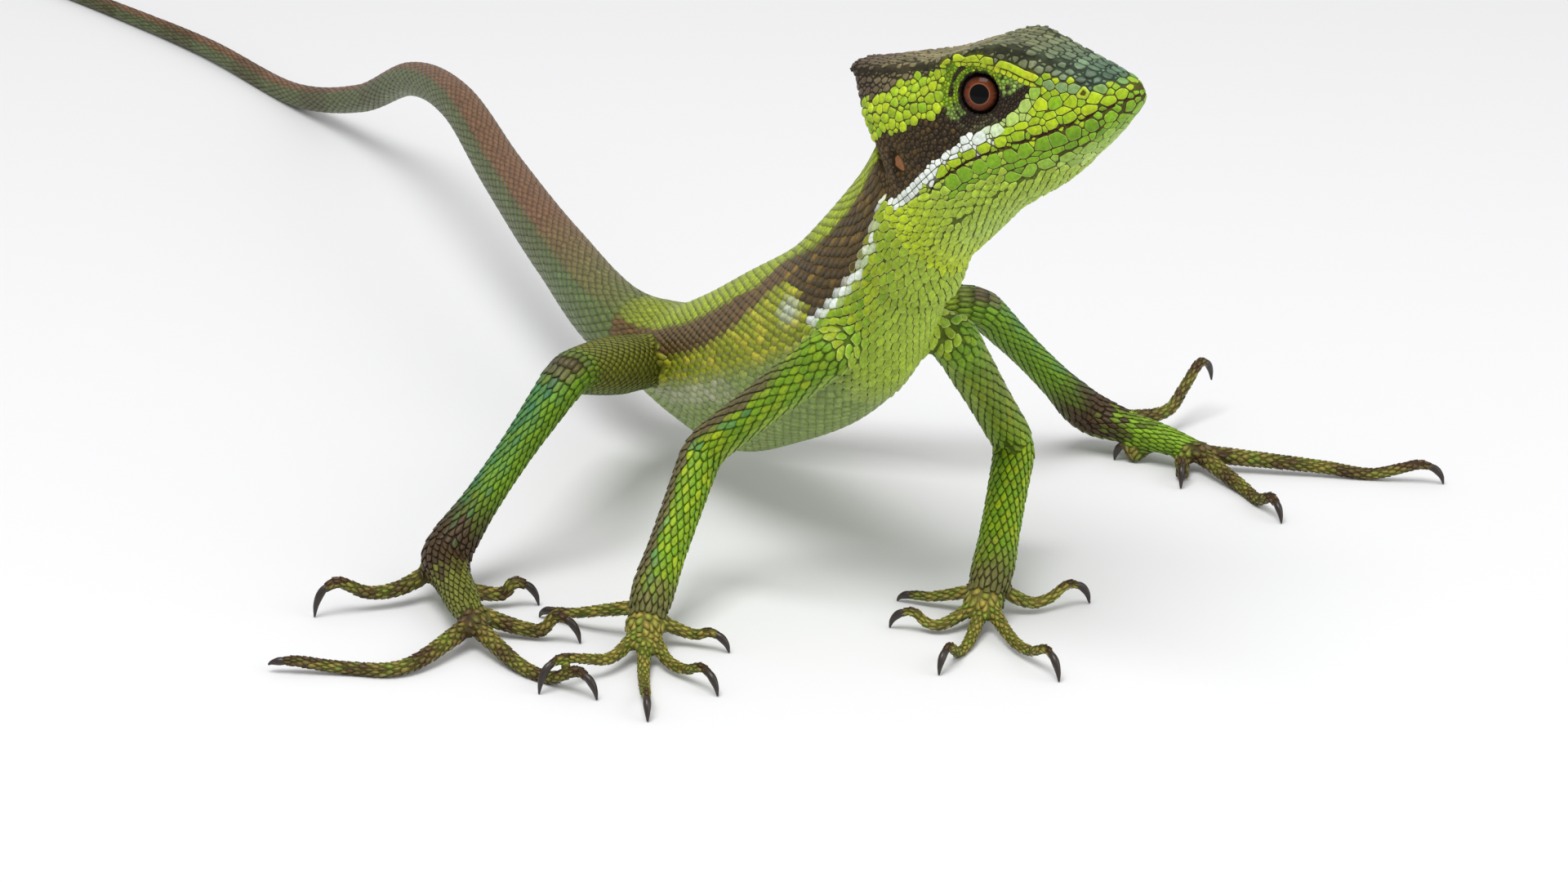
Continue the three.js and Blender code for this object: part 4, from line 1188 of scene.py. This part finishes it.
def trunk_colour(share, down, noise):
    """Markings of the body and neck by share of its length and angle down from the back."""
    flank = mixed(ink(156, 166, 34), ink(190, 184, 52), noise[:, 1] * 0.5)
    top = mixed(LIME * 0.85, ink(120, 128, 52), (0.2 - share) / 0.2)
    top = mixed(top, ink(150, 160, 48), noise[:, 0] * 0.3)
    dark = mixed(BROWN, ink(80, 62, 24), (share - 0.6) / 0.12)
    dark = mixed(dark, ink(150, 118, 40), (noise[:, 2] - 0.5) * 0.5 * (share > 0.66))
    body = mixed(top, dark, (down - line_at(BAND_TOP, share)) / 5 + noise[:, 0] * 0.15)
    body = mixed(body, flank, (down - line_at(BAND_LOW, share)) / 5 + noise[:, 0] * 0.12)
    blotch = np.clip(1.4 - np.hypot((share - 0.665) / 0.03, (down - 84) / 8), 0, 1)
    body = mixed(body, WHITE, blotch * 0.6)
    body = mixed(body, BELLY, (down - 102) / 8)
    cream = np.clip(1.5 - np.abs(down - 113) / 6, 0, 1) * np.clip((0.46 - share) / 0.06, 0, 1)
    body = mixed(body, CREAM, cream * (0.6 + noise[:, 2] * 0.3))
    line = line_at(NECK_LINE, share)
    neck = mixed(LIME * 0.74, LEAF * 0.85, 0.5 + (0.8 - share) * 2 + noise[:, 0] * 0.35)
    neck = mixed(neck, THROAT_GREEN, (down - 125) / 30)
    body = mixed(body, neck, np.clip((share - 0.68) / 0.06, 0, 1) * (down > line))
    width = np.interp(share, [0.72, 0.84, 0.9, 1], [4.5, 6, 5, 4.5])
    return mixed(body, WHITE, (1.5 - np.abs(down - line) / width * 1.5) * (share > 0.71))


def neck_place(points):
    """Share of the length of the trunk and angle down from its back of places on the neck."""
    shares, turns = np.linspace(NECK_START, 1, 81), 2 * np.pi * np.arange(120) / 120
    tree = kd_tree(np.vstack([TRUNK.at(t, turns)[0] for t in shares]))
    found = np.array([tree.find(p)[1] for p in points])
    return shares[found // 120], degrees_down(np.degrees(turns[found % 120]))


def roof_colour(s, noise):
    """Blue-grey on the snout, grey behind the eyes, brown on the casque."""
    tone = mixed(mixed(TURQUOISE, SLATE, (s - 3) / 8), STONE, (s - 14) / 10 + noise[:, 0] * 0.25)
    tone = tone * np.clip(1 + noise[:, 2:] * 0.22, 0.55, 1.6)
    tone = mixed(tone, CASQUE_BROWN, (s - 25) / 9)
    return mixed(tone, LEAF, (1.8 - s) / 1.5)


def orbit_colour(h, noise):
    """Green lids, with painted shade in the grooves round the eye and below it, crossed below the eye by
    paler lines where the lid is folded.
    """
    s, z = h[:, 0], h[:, 2]
    across, _, rise = eye_local(h).T
    ring = np.hypot(across, rise)
    lid = mixed(LEAF, LIME, 0.35 + noise[:, 0] * 0.3)
    lid = mixed(lid, ink(136, 164, 78), (0.8 - rise) / 1.5)
    # Painted shade below the eye and in the grooves round its opening, with paler lines on the lower lid.
    low = (rise < -1.5) | ((z < line_at(ORBIT_LOW, s) + 1.0) & (s < 17))
    groove = (ring < 2.72) | ((np.abs(ring - 3.72) < 0.16) & (rise > -1.5))
    shade_with_fold_lines = mixed(UMBER * 0.45, ink(98, 96, 62), low * (across > -0.8) * (np.sin(ring * 12) > 0.3) * 0.8)
    tone = np.where((low | groove)[:, None], shade_with_fold_lines, lid)
    return tone * np.clip(1 + noise[:, 1:2] * 0.15, 0.6, 1.4)


def arm_colour(share, out, rear, left, noise):
    """Leaf green with some teal and white scales, brown behind and at the wrist."""
    tone = mixed(LEAF * 0.78, LIME * 0.8, 0.25 + noise[:, 0] * 0.3)
    tone = mixed(tone, TEAL, ((noise[:, 2] > 0.7) & (rear > 0.1)) * 0.6)
    tone = mixed(tone, WHITE, ((noise[:, 2] > 2.0) & (rear > 0.1) & (share < 0.45)) * 0.5)
    tone = mixed(tone, ink(96, 88, 52), (rear - 0.35) / 0.2 + noise[:, 1] * 0.2)
    tone = mixed(tone, ink(100, 98, 46), (share - 0.84) / 0.1 + noise[:, 1] * 0.2)
    tone = mixed(tone, OLIVE * 0.9, left * (0.62 - share) * 1.6)
    tone = mixed(tone, mixed(LEAF * 0.72, LIME * 0.75, noise[:, 0] * 0.3), (0.26 - share) / 0.16)
    return mixed(tone, PALE_GREEN * 0.8, (-out[:, 2] - 0.5) / 0.4)


def leg_colour(share, out, rear, left, noise):
    """Olive thigh, teal and green shank with a brown knee and ankle, green foot."""
    shank = mixed(LEAF * 0.72, TEAL * 0.85, 0.3 + rear * 0.6 + noise[:, 0] * 0.2)
    tone = mixed(shank, ink(122, 126, 26), (0.45 - share) / 0.06)
    tone = mixed(tone, UMBER * 0.8, (share - 0.66) / 0.09 + noise[:, 1] * 0.15)
    foot = mixed(OLIVE, LEAF, left * 0.75)
    tone = mixed(tone, foot, (share - 0.84) / 0.06 + noise[:, 1] * 0.3)
    tone = mixed(tone, PALE_GREEN * 0.6, (-out[:, 2] - 0.6) / 0.4)
    knee = (1 - np.abs(share - 0.455) / 0.035) * np.clip((out[:, 2] - 0.35) / 0.3, 0, 1)
    return mixed(tone, ink(92, 72, 50), knee)


def digit_colour(share, out, noise):
    tone = mixed(ink(164, 150, 66), ink(130, 146, 48), 0.35 + noise[:, 0] * 0.4)
    brown = (out[:, 2] - 0.75) / 0.3 * 0.6 + (share - 0.68) / 0.2 + noise[:, 1] * 0.25
    tone = mixed(tone, ink(86, 62, 34), brown)
    return mixed(tone, ink(150, 146, 96), (-out[:, 2] - 0.3) / 0.5)


def tail_colour(share, down, noise):
    """Brown above, green at the sides, with dark bands toward the end."""
    side = mixed(ink(92, 102, 60), TEAL * 0.8, (0.1 - share) / 0.08)
    tone = mixed(RUST, side, (down - 40) / 14 + noise[:, 0] * 0.1)
    tone = mixed(tone, ink(120, 128, 96), (down - 120) / 20)
    band = np.clip(np.sin(share * 90) * 1.6, 0, 1) * np.clip((share - 0.3) / 0.1, 0, 1)
    tone = mixed(tone, ink(104, 116, 58), (0.12 - share) / 0.1)
    return mixed(tone, UMBER, band * 0.45)


def rim_colours(colour, region, share, down):
    """Colours of the edges of the scales and of the seams between them; a seam is a darkened copy of its
    scale's colour, painted shade in the gap, and on the head's plates it also takes dark brown skin.
    """
    plated = np.isin(region, PLATED)
    beside = (region == "trunk") & (down > NECK_SIDE)
    shoulder = beside & (share > NECK_START)
    throat = np.isin(region, ("gular", "throat"))
    # Seams are darkened copies of the scale colour, painted shade in the gaps; each row below gives where,
    # the edge tone and the share of colour a seam keeps.
    edge, seam = colour * 0.6, colour * 0.35
    for where, tone, seam_shade in (
        (throat, 1.1, 0.28), (region == "trunk", 0.88, 0.55), (region == "tail", 0.8, 0.6),
        (plated, 0.85, 0.12), (region == "roof", 0.8, 0.26), (beside, 0.96, 0.85), (shoulder, 1.1, 0.3),
    ):
        edge[where] = colour[where] * tone
        seam[where] = colour[where] * seam_shade
    for where, pale in ((throat | shoulder, 0.6), (plated, 0.3)):
        edge[where] = mixed(colour, PALE_EDGE, np.full(len(colour), pale))[where]
    seam[plated] += SEAM * 0.8
    return edge, seam


def scale_colours(table, out):
    """Colour of each scale, of its edge and of the seam round it, which is partly painted shade."""
    noise = np.random.default_rng(7).normal(0, 1, (len(table), 3))
    vary = noise[:, 0]
    region = np.array(REGIONS, object)[table[:, REGION].astype(int)]
    share, down = table[:, SHARE], degrees_down(table[:, TURN] * 360)
    h = in_head(table[:, PLACE])
    s, z = h[:, 0], h[:, 2]
    left = np.isin(table[:, SHEET].astype(int), LEFT_SHEETS)
    outward = np.where(left, out[:, 1], -out[:, 1])
    rear = outward * 0.62 - out[:, 0] * 0.7 + out[:, 2] * 0.25
    gular = mixed(THROAT_GREEN, PALE_GREEN, (-z - 4) / 4 + vary * 0.1)
    pale_snout = mixed(PALE_GREEN, LEAF, (12.5 - s) / 3)
    digit = digit_colour(share, out, noise)
    tones = {
        "roof": roof_colour(s, noise),
        "face": mixed(LIME, LEAF, 0.45 + vary * 0.35),
        "temple": mixed(LIME, LEAF, 0.3 + vary * 0.3),
        "orbit": orbit_colour(h, noise),
        "dark": mixed(ink(54, 40, 14), ink(106, 80, 30), (s - 24) / 20 + vary * 0.25),
        "ear": ink(130, 82, 40),
        "nasal": LIME * 0.9,
        "canthal": mixed(ink(120, 150, 92), LEAF, (4 - s) / 3),
        "stripe": mixed(WHITE, pale_snout, (20 - s) / 5 + vary * 0.08),
        "brow": mixed(LIME, ink(188, 200, 30), 0.5 + vary * 0.3),
        "labial": mixed(LIME, LEAF, 0.35 + vary * 0.25),
        "lower_labial": mixed(LEAF, DEEP_GREEN, 0.2 + vary * 0.2),
        "chin": mixed(LEAF, PALE_GREEN, (-z - 2.0) / 2.5 + vary * 0.1),
        "gular": mixed(gular, LIME, (s - 27) / 8),
        "trunk": trunk_colour(share, down, noise),
        "arm": arm_colour(share, out, rear, left, noise),
        "leg": leg_colour(share, out, rear, left, noise),
        "finger": digit,
        "toe": mixed(digit, ink(92, 68, 40), 0.45 + np.sin(share * 22) * 0.35 + noise[:, 1] * 0.2),
        "tail": tail_colour(share, down, noise),
    }
    colour = np.zeros((len(table), 3))
    for name, tone in tones.items():
        colour[region == name] = np.broadcast_to(tone, colour.shape)[region == name]
    throat = region == "throat"
    colour[throat] = trunk_colour(*neck_place(table[throat, PLACE]), noise[throat])
    colour *= 1 + noise[:, 1:2] * 0.08
    return [np.clip(c, 0.002, 1) for c in (colour, *rim_colours(colour, region, share, down))]


# Building the plates


def sheet_place(table):
    """Place of each scale on an unwrap of the skin."""
    sheet = table[:, SHEET].astype(int)
    h = in_head(table[:, PLACE])
    share = np.where(sheet == 0, np.clip(h[:, 0] / 40, 0, 1), table[:, SHARE])
    turn = np.where(sheet == 0, np.arctan2(h[:, 1], h[:, 2] - 3) / (2 * np.pi) + 0.5, table[:, TURN])
    box = np.array(SHEETS)[sheet]
    return np.column_stack([box[:, 0] + box[:, 2] * turn, box[:, 1] + box[:, 3] * share])


def plate_points(surface, name, axes, reach, size):
    """Points of plates of one style: rings from the skirt under the skin inward, then the crown."""
    facets, height, lift, dome, _, overlap, _, _, rings = STYLES[name]
    middle, lie, across, up = (a[:, None] for a in axes)
    u, v = reach
    rear = np.maximum(0, np.cos(2 * np.pi * np.arange(facets) / facets))
    rim = middle + lie * u[..., None] + across * v[..., None]
    rim, rim_out, _ = surface.nearest(rim.reshape(-1, 3))
    rim, rim_out = rim.reshape(-1, facets, 3), rim_out.reshape(-1, facets, 3)
    stretched = rim + (rim - middle) * (overlap * rear)[None, :, None]
    layers = [rim - rim_out * SKIRT_DEPTH]
    for f in rings[:-1]:
        high = (height + lift * f * rear + dome * (1 - f * f)) * size
        ring = middle + (stretched - middle) * f
        layers.append(ring + unit(rim_out * f + up * (1 - f)) * high[..., None])
    crown = middle + up * ((height + dome) * size)[..., None]
    if name == "nasal":
        layers[-1] = layers[-1] - up * NOSTRIL_STEP
        crown = crown - up * NOSTRIL_DEPTH
    return np.concatenate([*layers, crown], 1)


def plate_tones(name, colour, edge, seam):
    """Colours of the same points."""
    facets, rings = STYLES[name][0], STYLES[name][-1]
    # The skirt under each plate's rim takes the seam colour, painted shade in the gap between scales.
    tones = [seam] + [edge if f == 1 else colour for f in rings[:-1]]
    crown = colour
    # The nostril has a dark red inner rim and a pit painted with the shade of its hole.
    if name == "nasal":
        tones[-1], crown = (np.broadcast_to(c, colour.shape) for c in (NOSTRIL_RIM, NOSTRIL_SHADE))
    rows = [np.broadcast_to(tone[:, None], (len(colour), facets, 3)) for tone in tones]
    return np.concatenate([*rows, crown[:, None]], 1)


def plate_faces(facets, layers):
    """Quads between the rings of one plate, and the fan from its last ring to its crown."""
    around = np.arange(facets)
    after = (around + 1) % facets
    quads = []
    for low in range(0, (layers - 1) * facets, facets):
        high = low + facets
        quads.append(np.column_stack([low + around, low + after, high + after, high + around]))
    last = (layers - 1) * facets
    return np.vstack(quads), np.column_stack([last + around, last + after, np.full(facets, layers * facets)])


def plate_pieces(surface, table, out, colour, edge, seam):
    """Points, faces, colours and unwrap of all scales, by style."""
    across = np.cross(out, table[:, LIE])
    near, usable = neighbours(table[:, PLACE], out)
    on_sheet = sheet_place(table)
    made = {}
    for number, (name, style) in enumerate(STYLES.items()):
        index = np.nonzero(table[:, STYLE] == number)[0]
        if not len(index):
            continue
        facets, rings = style[0], style[-1]
        reach = cells(table, out, near, usable, index, facets, style[4], *style[6:8])
        axes = [a[index] for a in (table[:, PLACE], table[:, LIE], across, out)]
        size = np.minimum(1, np.minimum(table[index, LONG], table[index, WIDE]) / FULL_SIZE)[:, None]
        points = plate_points(surface, name, axes, reach, size)
        tones = plate_tones(name, colour[index], edge[index], seam[index])
        per = points.shape[1]
        base = (np.arange(len(index)) * per)[:, None, None]
        quads, fans = plate_faces(facets, len(rings))
        turn = 2 * np.pi * np.arange(facets) / facets
        circle = np.column_stack([np.cos(turn), np.sin(turn)])
        spread = np.vstack([circle * f for f in (1, *rings[:-1])] + [[[0, 0]]])
        uv = on_sheet[index][:, None] + spread[None] * PATCH / 2
        made[name] = (points.reshape(-1, 3), (base + quads).reshape(-1, 4), (base + fans).reshape(-1, 3),
                      tones.reshape(-1, 3), uv.reshape(-1, 2), per)
    return made


def coat_object(name, points, quads, fans, tones, uv):
    mesh = bpy.data.meshes.new(name)
    corners = np.concatenate([quads.ravel(), fans.ravel()])
    starts = np.concatenate([np.arange(len(quads)) * 4, quads.size + np.arange(len(fans)) * 3])
    mesh.vertices.add(len(points))
    mesh.vertices.foreach_set("co", to_part(points).ravel())
    mesh.loops.add(len(corners))
    mesh.loops.foreach_set("vertex_index", corners.astype(np.int32))
    mesh.polygons.add(len(starts))
    mesh.polygons.foreach_set("loop_start", starts.astype(np.int32))
    mesh.polygons.foreach_set("use_smooth", np.ones(len(starts), bool))
    set_paint(mesh, tones)
    layer = mesh.uv_layers.new(name="OFBake")
    layer.data.foreach_set("uv", uv[corners].ravel())
    mesh.update(calc_edges=True)
    return added(name, mesh)


def coat_pieces(made):
    """Deals the plates of all styles out to pieces of fewer than the largest number of triangles."""
    triangles = sum(2 * len(quads) + len(fans) for _, quads, fans, _, _, _ in made.values())
    parts = math.ceil(triangles / MOST_TRIANGLES)
    pieces = []
    for k in range(parts):
        columns = [[], [], [], [], []]
        start = 0
        for points, quads, fans, tones, uv, per in made.values():
            count = len(points) // per
            chosen = np.arange(k, count, parts)
            rows = (chosen[:, None] * per + np.arange(per)).ravel()
            shift = ((np.arange(len(chosen)) - chosen) * per + start)[:, None, None]
            some_quads = quads.reshape(count, -1, 4)[chosen] + shift
            some_fans = fans.reshape(count, -1, 3)[chosen] + shift
            chunk = (points[rows], some_quads.reshape(-1, 4), some_fans.reshape(-1, 3), tones[rows], uv[rows])
            for column, values in zip(columns, chunk):
                column.append(values)
            start += len(rows)
        pieces.append(coat_object(f"scales_{k + 1}", *(np.concatenate(c) for c in columns)))
    return pieces


def adjusted(table):
    """Frees the line of the mouth, rounds the scales of the neck and shrinks those of the arms' roots."""
    h = in_head(table[:, PLACE])
    off_line = np.abs(h[:, 2] - mouth_height(h[:, 0]))
    mouth = (off_line < MOUTH_SEAM) & (h[:, 0] < MOUTH_CORNER) & (h[:, 0] > 0)
    table = table[~mouth]
    down = degrees_down(table[:, TURN] * 360)
    trunk = table[:, REGION] == REGIONS.index("trunk")
    table[trunk & (table[:, SHARE] > NECK_START) & (down > NECK_SIDE), STYLE] = STYLE_NAMES.index("gular")
    roots = (table[:, REGION] == REGIONS.index("arm")) & (table[:, SHARE] < ARM_ROOT)
    for column, scale in zip((LONG, WIDE), ROOT_SCALE):
        table[roots, column] *= scale
    return table


def cover_with_scales(skin):
    surface = Surface(skin.data)
    draw = np.random.default_rng(11)
    on_head, on_body = Scales(), Scales()
    head_scales(on_head, draw)
    body_scales(on_body)
    table = on_the_skin(surface, on_head.table(), 0.9)
    table = kept_apart(table, 0.5)
    for size in (1, 0.55):
        table = np.vstack([table, head_fill(surface, table, draw, size)])
    table = np.vstack([table, on_the_skin(surface, on_body.table(), 0.7)])
    table = adjusted(kept_apart(table))
    table = np.vstack([table, body_fill(surface, table, draw)])
    _, out, _ = surface.nearest(table[:, PLACE])
    table[:, LIE] = flattened(table[:, LIE], out)
    colour, edge, seam = scale_colours(table, out)
    paint_skin(skin, table, seam)
    return coat_pieces(plate_pieces(surface, table, out, colour, edge, seam))


def paint_skin(skin, table, seam):
    """Gives the skin the colour of the seams of its scales, which is partly painted shade, and paints shade
    into the line of the mouth and the opening of the lids.
    """
    tree = kd_tree(table[:, PLACE])
    points = mesh_points(skin.data)
    tones = seam[[tree.find(p)[1] for p in points]]
    h = in_head(points)
    across_eye, out_of_eye, rise = eye_local(h).T
    rim = (np.hypot(across_eye, rise) < LID_GAP + 0.35) & (out_of_eye > -1.2)
    mouth = np.abs(h[:, 2] - mouth_height(h[:, 0])) < 0.22
    front = (h[:, 0] < MOUTH_CORNER) & (h[:, 0] > 0)
    # Painted shade inside the mouth's groove and the lids' opening.
    tones[mouth & front] = MOUTH_SHADE
    tones[rim] = LID_SHADE
    set_paint(skin.data, tones)


scales = cover_with_scales(skin)

# Claws and eyes


def make_claws():
    nails = [nail.mesh(12) for _, digits, _ in LIMB_TUBES.values() for _, nail in digits]
    points, faces = merged(nails)
    points[:, 2] = np.maximum(points[:, 2], 0)
    return new_mesh("claws", points, faces)


claws = make_claws()


def eye_rings():
    """Rings round the axis of the eye, close together where the pupil and the iris end."""
    stretches = ((0.03, 0.5), (0.53, 1.1), (1.2, 3.1))
    turns = 2 * np.pi * np.arange(EYE_SPOKES) / EYE_SPOKES
    rings = []
    for a in np.concatenate([np.linspace(*ends, 14) for ends in stretches]):
        out = np.full(EYE_SPOKES, math.cos(a) * EYE_FLATTENING)
        ring = np.column_stack([np.cos(turns) * math.sin(a), out, np.sin(turns) * math.sin(a)])
        rings.append(ring * EYE_RADIUS)
    return loft(rings)


def make_eye(name, side):
    points, faces = eye_rings()
    eye = new_mesh(name, from_head(from_eye(points, side, EYE)), [face[::side] for face in faces])
    radius = np.where(points[:, 1] > 0, np.hypot(points[:, 0], points[:, 2]), EYE_RADIUS)
    spoke = np.random.default_rng(3).normal(0, 1, EYE_SPOKES)
    turn = (np.arctan2(points[:, 2], points[:, 0]) / (2 * np.pi) * EYE_SPOKES).astype(int) % EYE_SPOKES
    iris = mixed(ink(106, 50, 24), ink(54, 24, 12), (radius - 1.4) / 0.6 + spoke[turn] * 0.15)
    tones = np.where((radius < PUPIL_RADIUS)[:, None], ink(4, 4, 5), iris)
    ring = np.abs(radius - PUPIL_RADIUS - 0.06) < 0.05
    tones = np.where(ring[:, None], ink(130, 88, 64), tones)
    tones = np.where((radius > IRIS_RADIUS)[:, None], ink(16, 9, 7), tones)
    set_paint(eye.data, tones)
    return eye


eyes = [make_eye("eyeball_left", 1), make_eye("eyeball_right", -1)]

# Materials


def plain(name, colour, roughness):
    material = bpy.data.materials.new(name)
    material.use_nodes = True
    shader = material.node_tree.nodes["Principled BSDF"]
    shader.inputs["Base Color"].default_value = (*colour, 1)
    shader.inputs["Roughness"].default_value = roughness
    return material


def added_node(nodes, kind, **inputs):
    """New node with its inputs set, whose names are written with _ for spaces."""
    node = nodes.new(f"ShaderNode{kind}")
    for name, value in inputs.items():
        node.inputs[name.replace("_", " ")].default_value = value
    return node


def painted(name, roughness, shine, grain=None, bump=0.0):
    """Takes its colour from the markings and painted shade, with fine mottling and bump."""
    material = plain(name, (0.5, 0.5, 0.5), roughness)
    nodes, links = material.node_tree.nodes, material.node_tree.links
    shader = nodes["Principled BSDF"]
    shader.inputs["Specular IOR Level"].default_value = shine
    attribute = nodes.new("ShaderNodeAttribute")
    attribute.attribute_name = "paint"
    colour = attribute.outputs["Color"]
    if grain:
        place = added_node(nodes, "TexCoord")
        noise = added_node(nodes, "TexNoise", Scale=grain, Detail=3)
        level = added_node(nodes, "MapRange", From_Min=0.3, From_Max=0.7, To_Min=0.75, To_Max=1.2)
        mix = added_node(nodes, "VectorMath")
        mix.operation = "SCALE"
        relief = added_node(nodes, "Bump", Strength=bump, Distance=0.00005)
        links.new(place.outputs["Object"], noise.inputs["Vector"])
        links.new(noise.outputs["Fac"], level.inputs["Value"])
        links.new(colour, mix.inputs[0])
        links.new(level.outputs["Result"], mix.inputs["Scale"])
        links.new(noise.outputs["Fac"], relief.inputs["Height"])
        links.new(relief.outputs["Normal"], shader.inputs["Normal"])
        colour = mix.outputs["Vector"]
    links.new(colour, shader.inputs["Base Color"])
    return material


skin.data.materials.append(painted("skin", 0.65, 0.2, 1800, 0.3))
scale_material = painted("scale", 0.45, 0.28, 2200, 0.35)
for piece in scales:
    piece.data.materials.append(scale_material)
claws.data.materials.append(plain("claw", (0.022, 0.014, 0.01), 0.35))
eye_material = painted("eye", 0.06, 0.12)
for eye in eyes:
    eye.data.materials.append(eye_material)
for made in [skin, claws, *eyes]:
    made.data.polygons.foreach_set("use_smooth", np.ones(len(made.data.polygons), bool))

# Light, floor and camera


def make_floor():
    mesh = bpy.data.meshes.new("floor")
    corners = [(x * FLOOR_REACH, y * FLOOR_REACH, 0) for x, y in ((-1, -1), (1, -1), (1, 1), (-1, 1))]
    mesh.from_pydata(corners, [], [(0, 1, 2, 3)])
    floor = added("floor", mesh)
    floor.data.materials.append(plain("floor", (0.72, 0.72, 0.73), 0.9))


def make_light(name, place, size, power, aim=(0.15, 0, 0.03)):
    data = bpy.data.lights.new(name, "AREA")
    data.size = size
    data.energy = power
    light = added(name, data)
    place, aim = np.array(place), np.array(aim)
    back = unit(place - aim)
    side = unit(np.cross([0, 0, 1], back))
    rotation = np.column_stack([side, np.cross(back, side), back])
    light.matrix_world = Matrix.Translation(place) @ Matrix(rotation.tolist()).to_4x4()


def make_camera():
    data = bpy.data.cameras.new("camera")
    data.lens = CAMERA_LENS
    data.sensor_width = SENSOR_WIDTH
    data.clip_start = 0.01
    camera = added("camera", data)
    right = np.array([math.cos(math.radians(CAMERA_TURN)), math.sin(math.radians(CAMERA_TURN)), 0])
    flat = np.array([-right[1], right[0], 0])
    drop = math.radians(CAMERA_DROP)
    view = flat * math.cos(drop) - np.array([0, 0, 1]) * math.sin(drop)
    up = np.cross(right, view)
    rotation = np.column_stack([right, up, -view])
    camera.matrix_world = Matrix.Translation(to_part(CAMERA_PLACE)) @ Matrix(rotation.tolist()).to_4x4()
    bpy.context.scene.camera = camera


def make_world():
    world = bpy.data.worlds.new("studio")
    world.use_nodes = True
    background = world.node_tree.nodes["Background"]
    background.inputs["Color"].default_value = (1, 1, 1, 1)
    background.inputs["Strength"].default_value = 0.64
    bpy.context.scene.world = world


make_floor()
make_world()
make_light("key", (0.35, -0.25, 0.9), 0.5, 6.5)
make_light("fill", (0.9, 0.5, 0.5), 0.8, 3)
make_camera()
bpy.context.scene.view_settings.view_transform = "Standard"

# What each piece stands for

flesh_nodes = [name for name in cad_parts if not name.startswith("eye")]
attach(skin, "root")
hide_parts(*flesh_nodes)
for piece in scales:
    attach(piece, "root")
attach(claws, "root")
for eye, node in zip(eyes, ("eye_left", "eye_right")):
    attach(eye, "root")
    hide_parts(node)
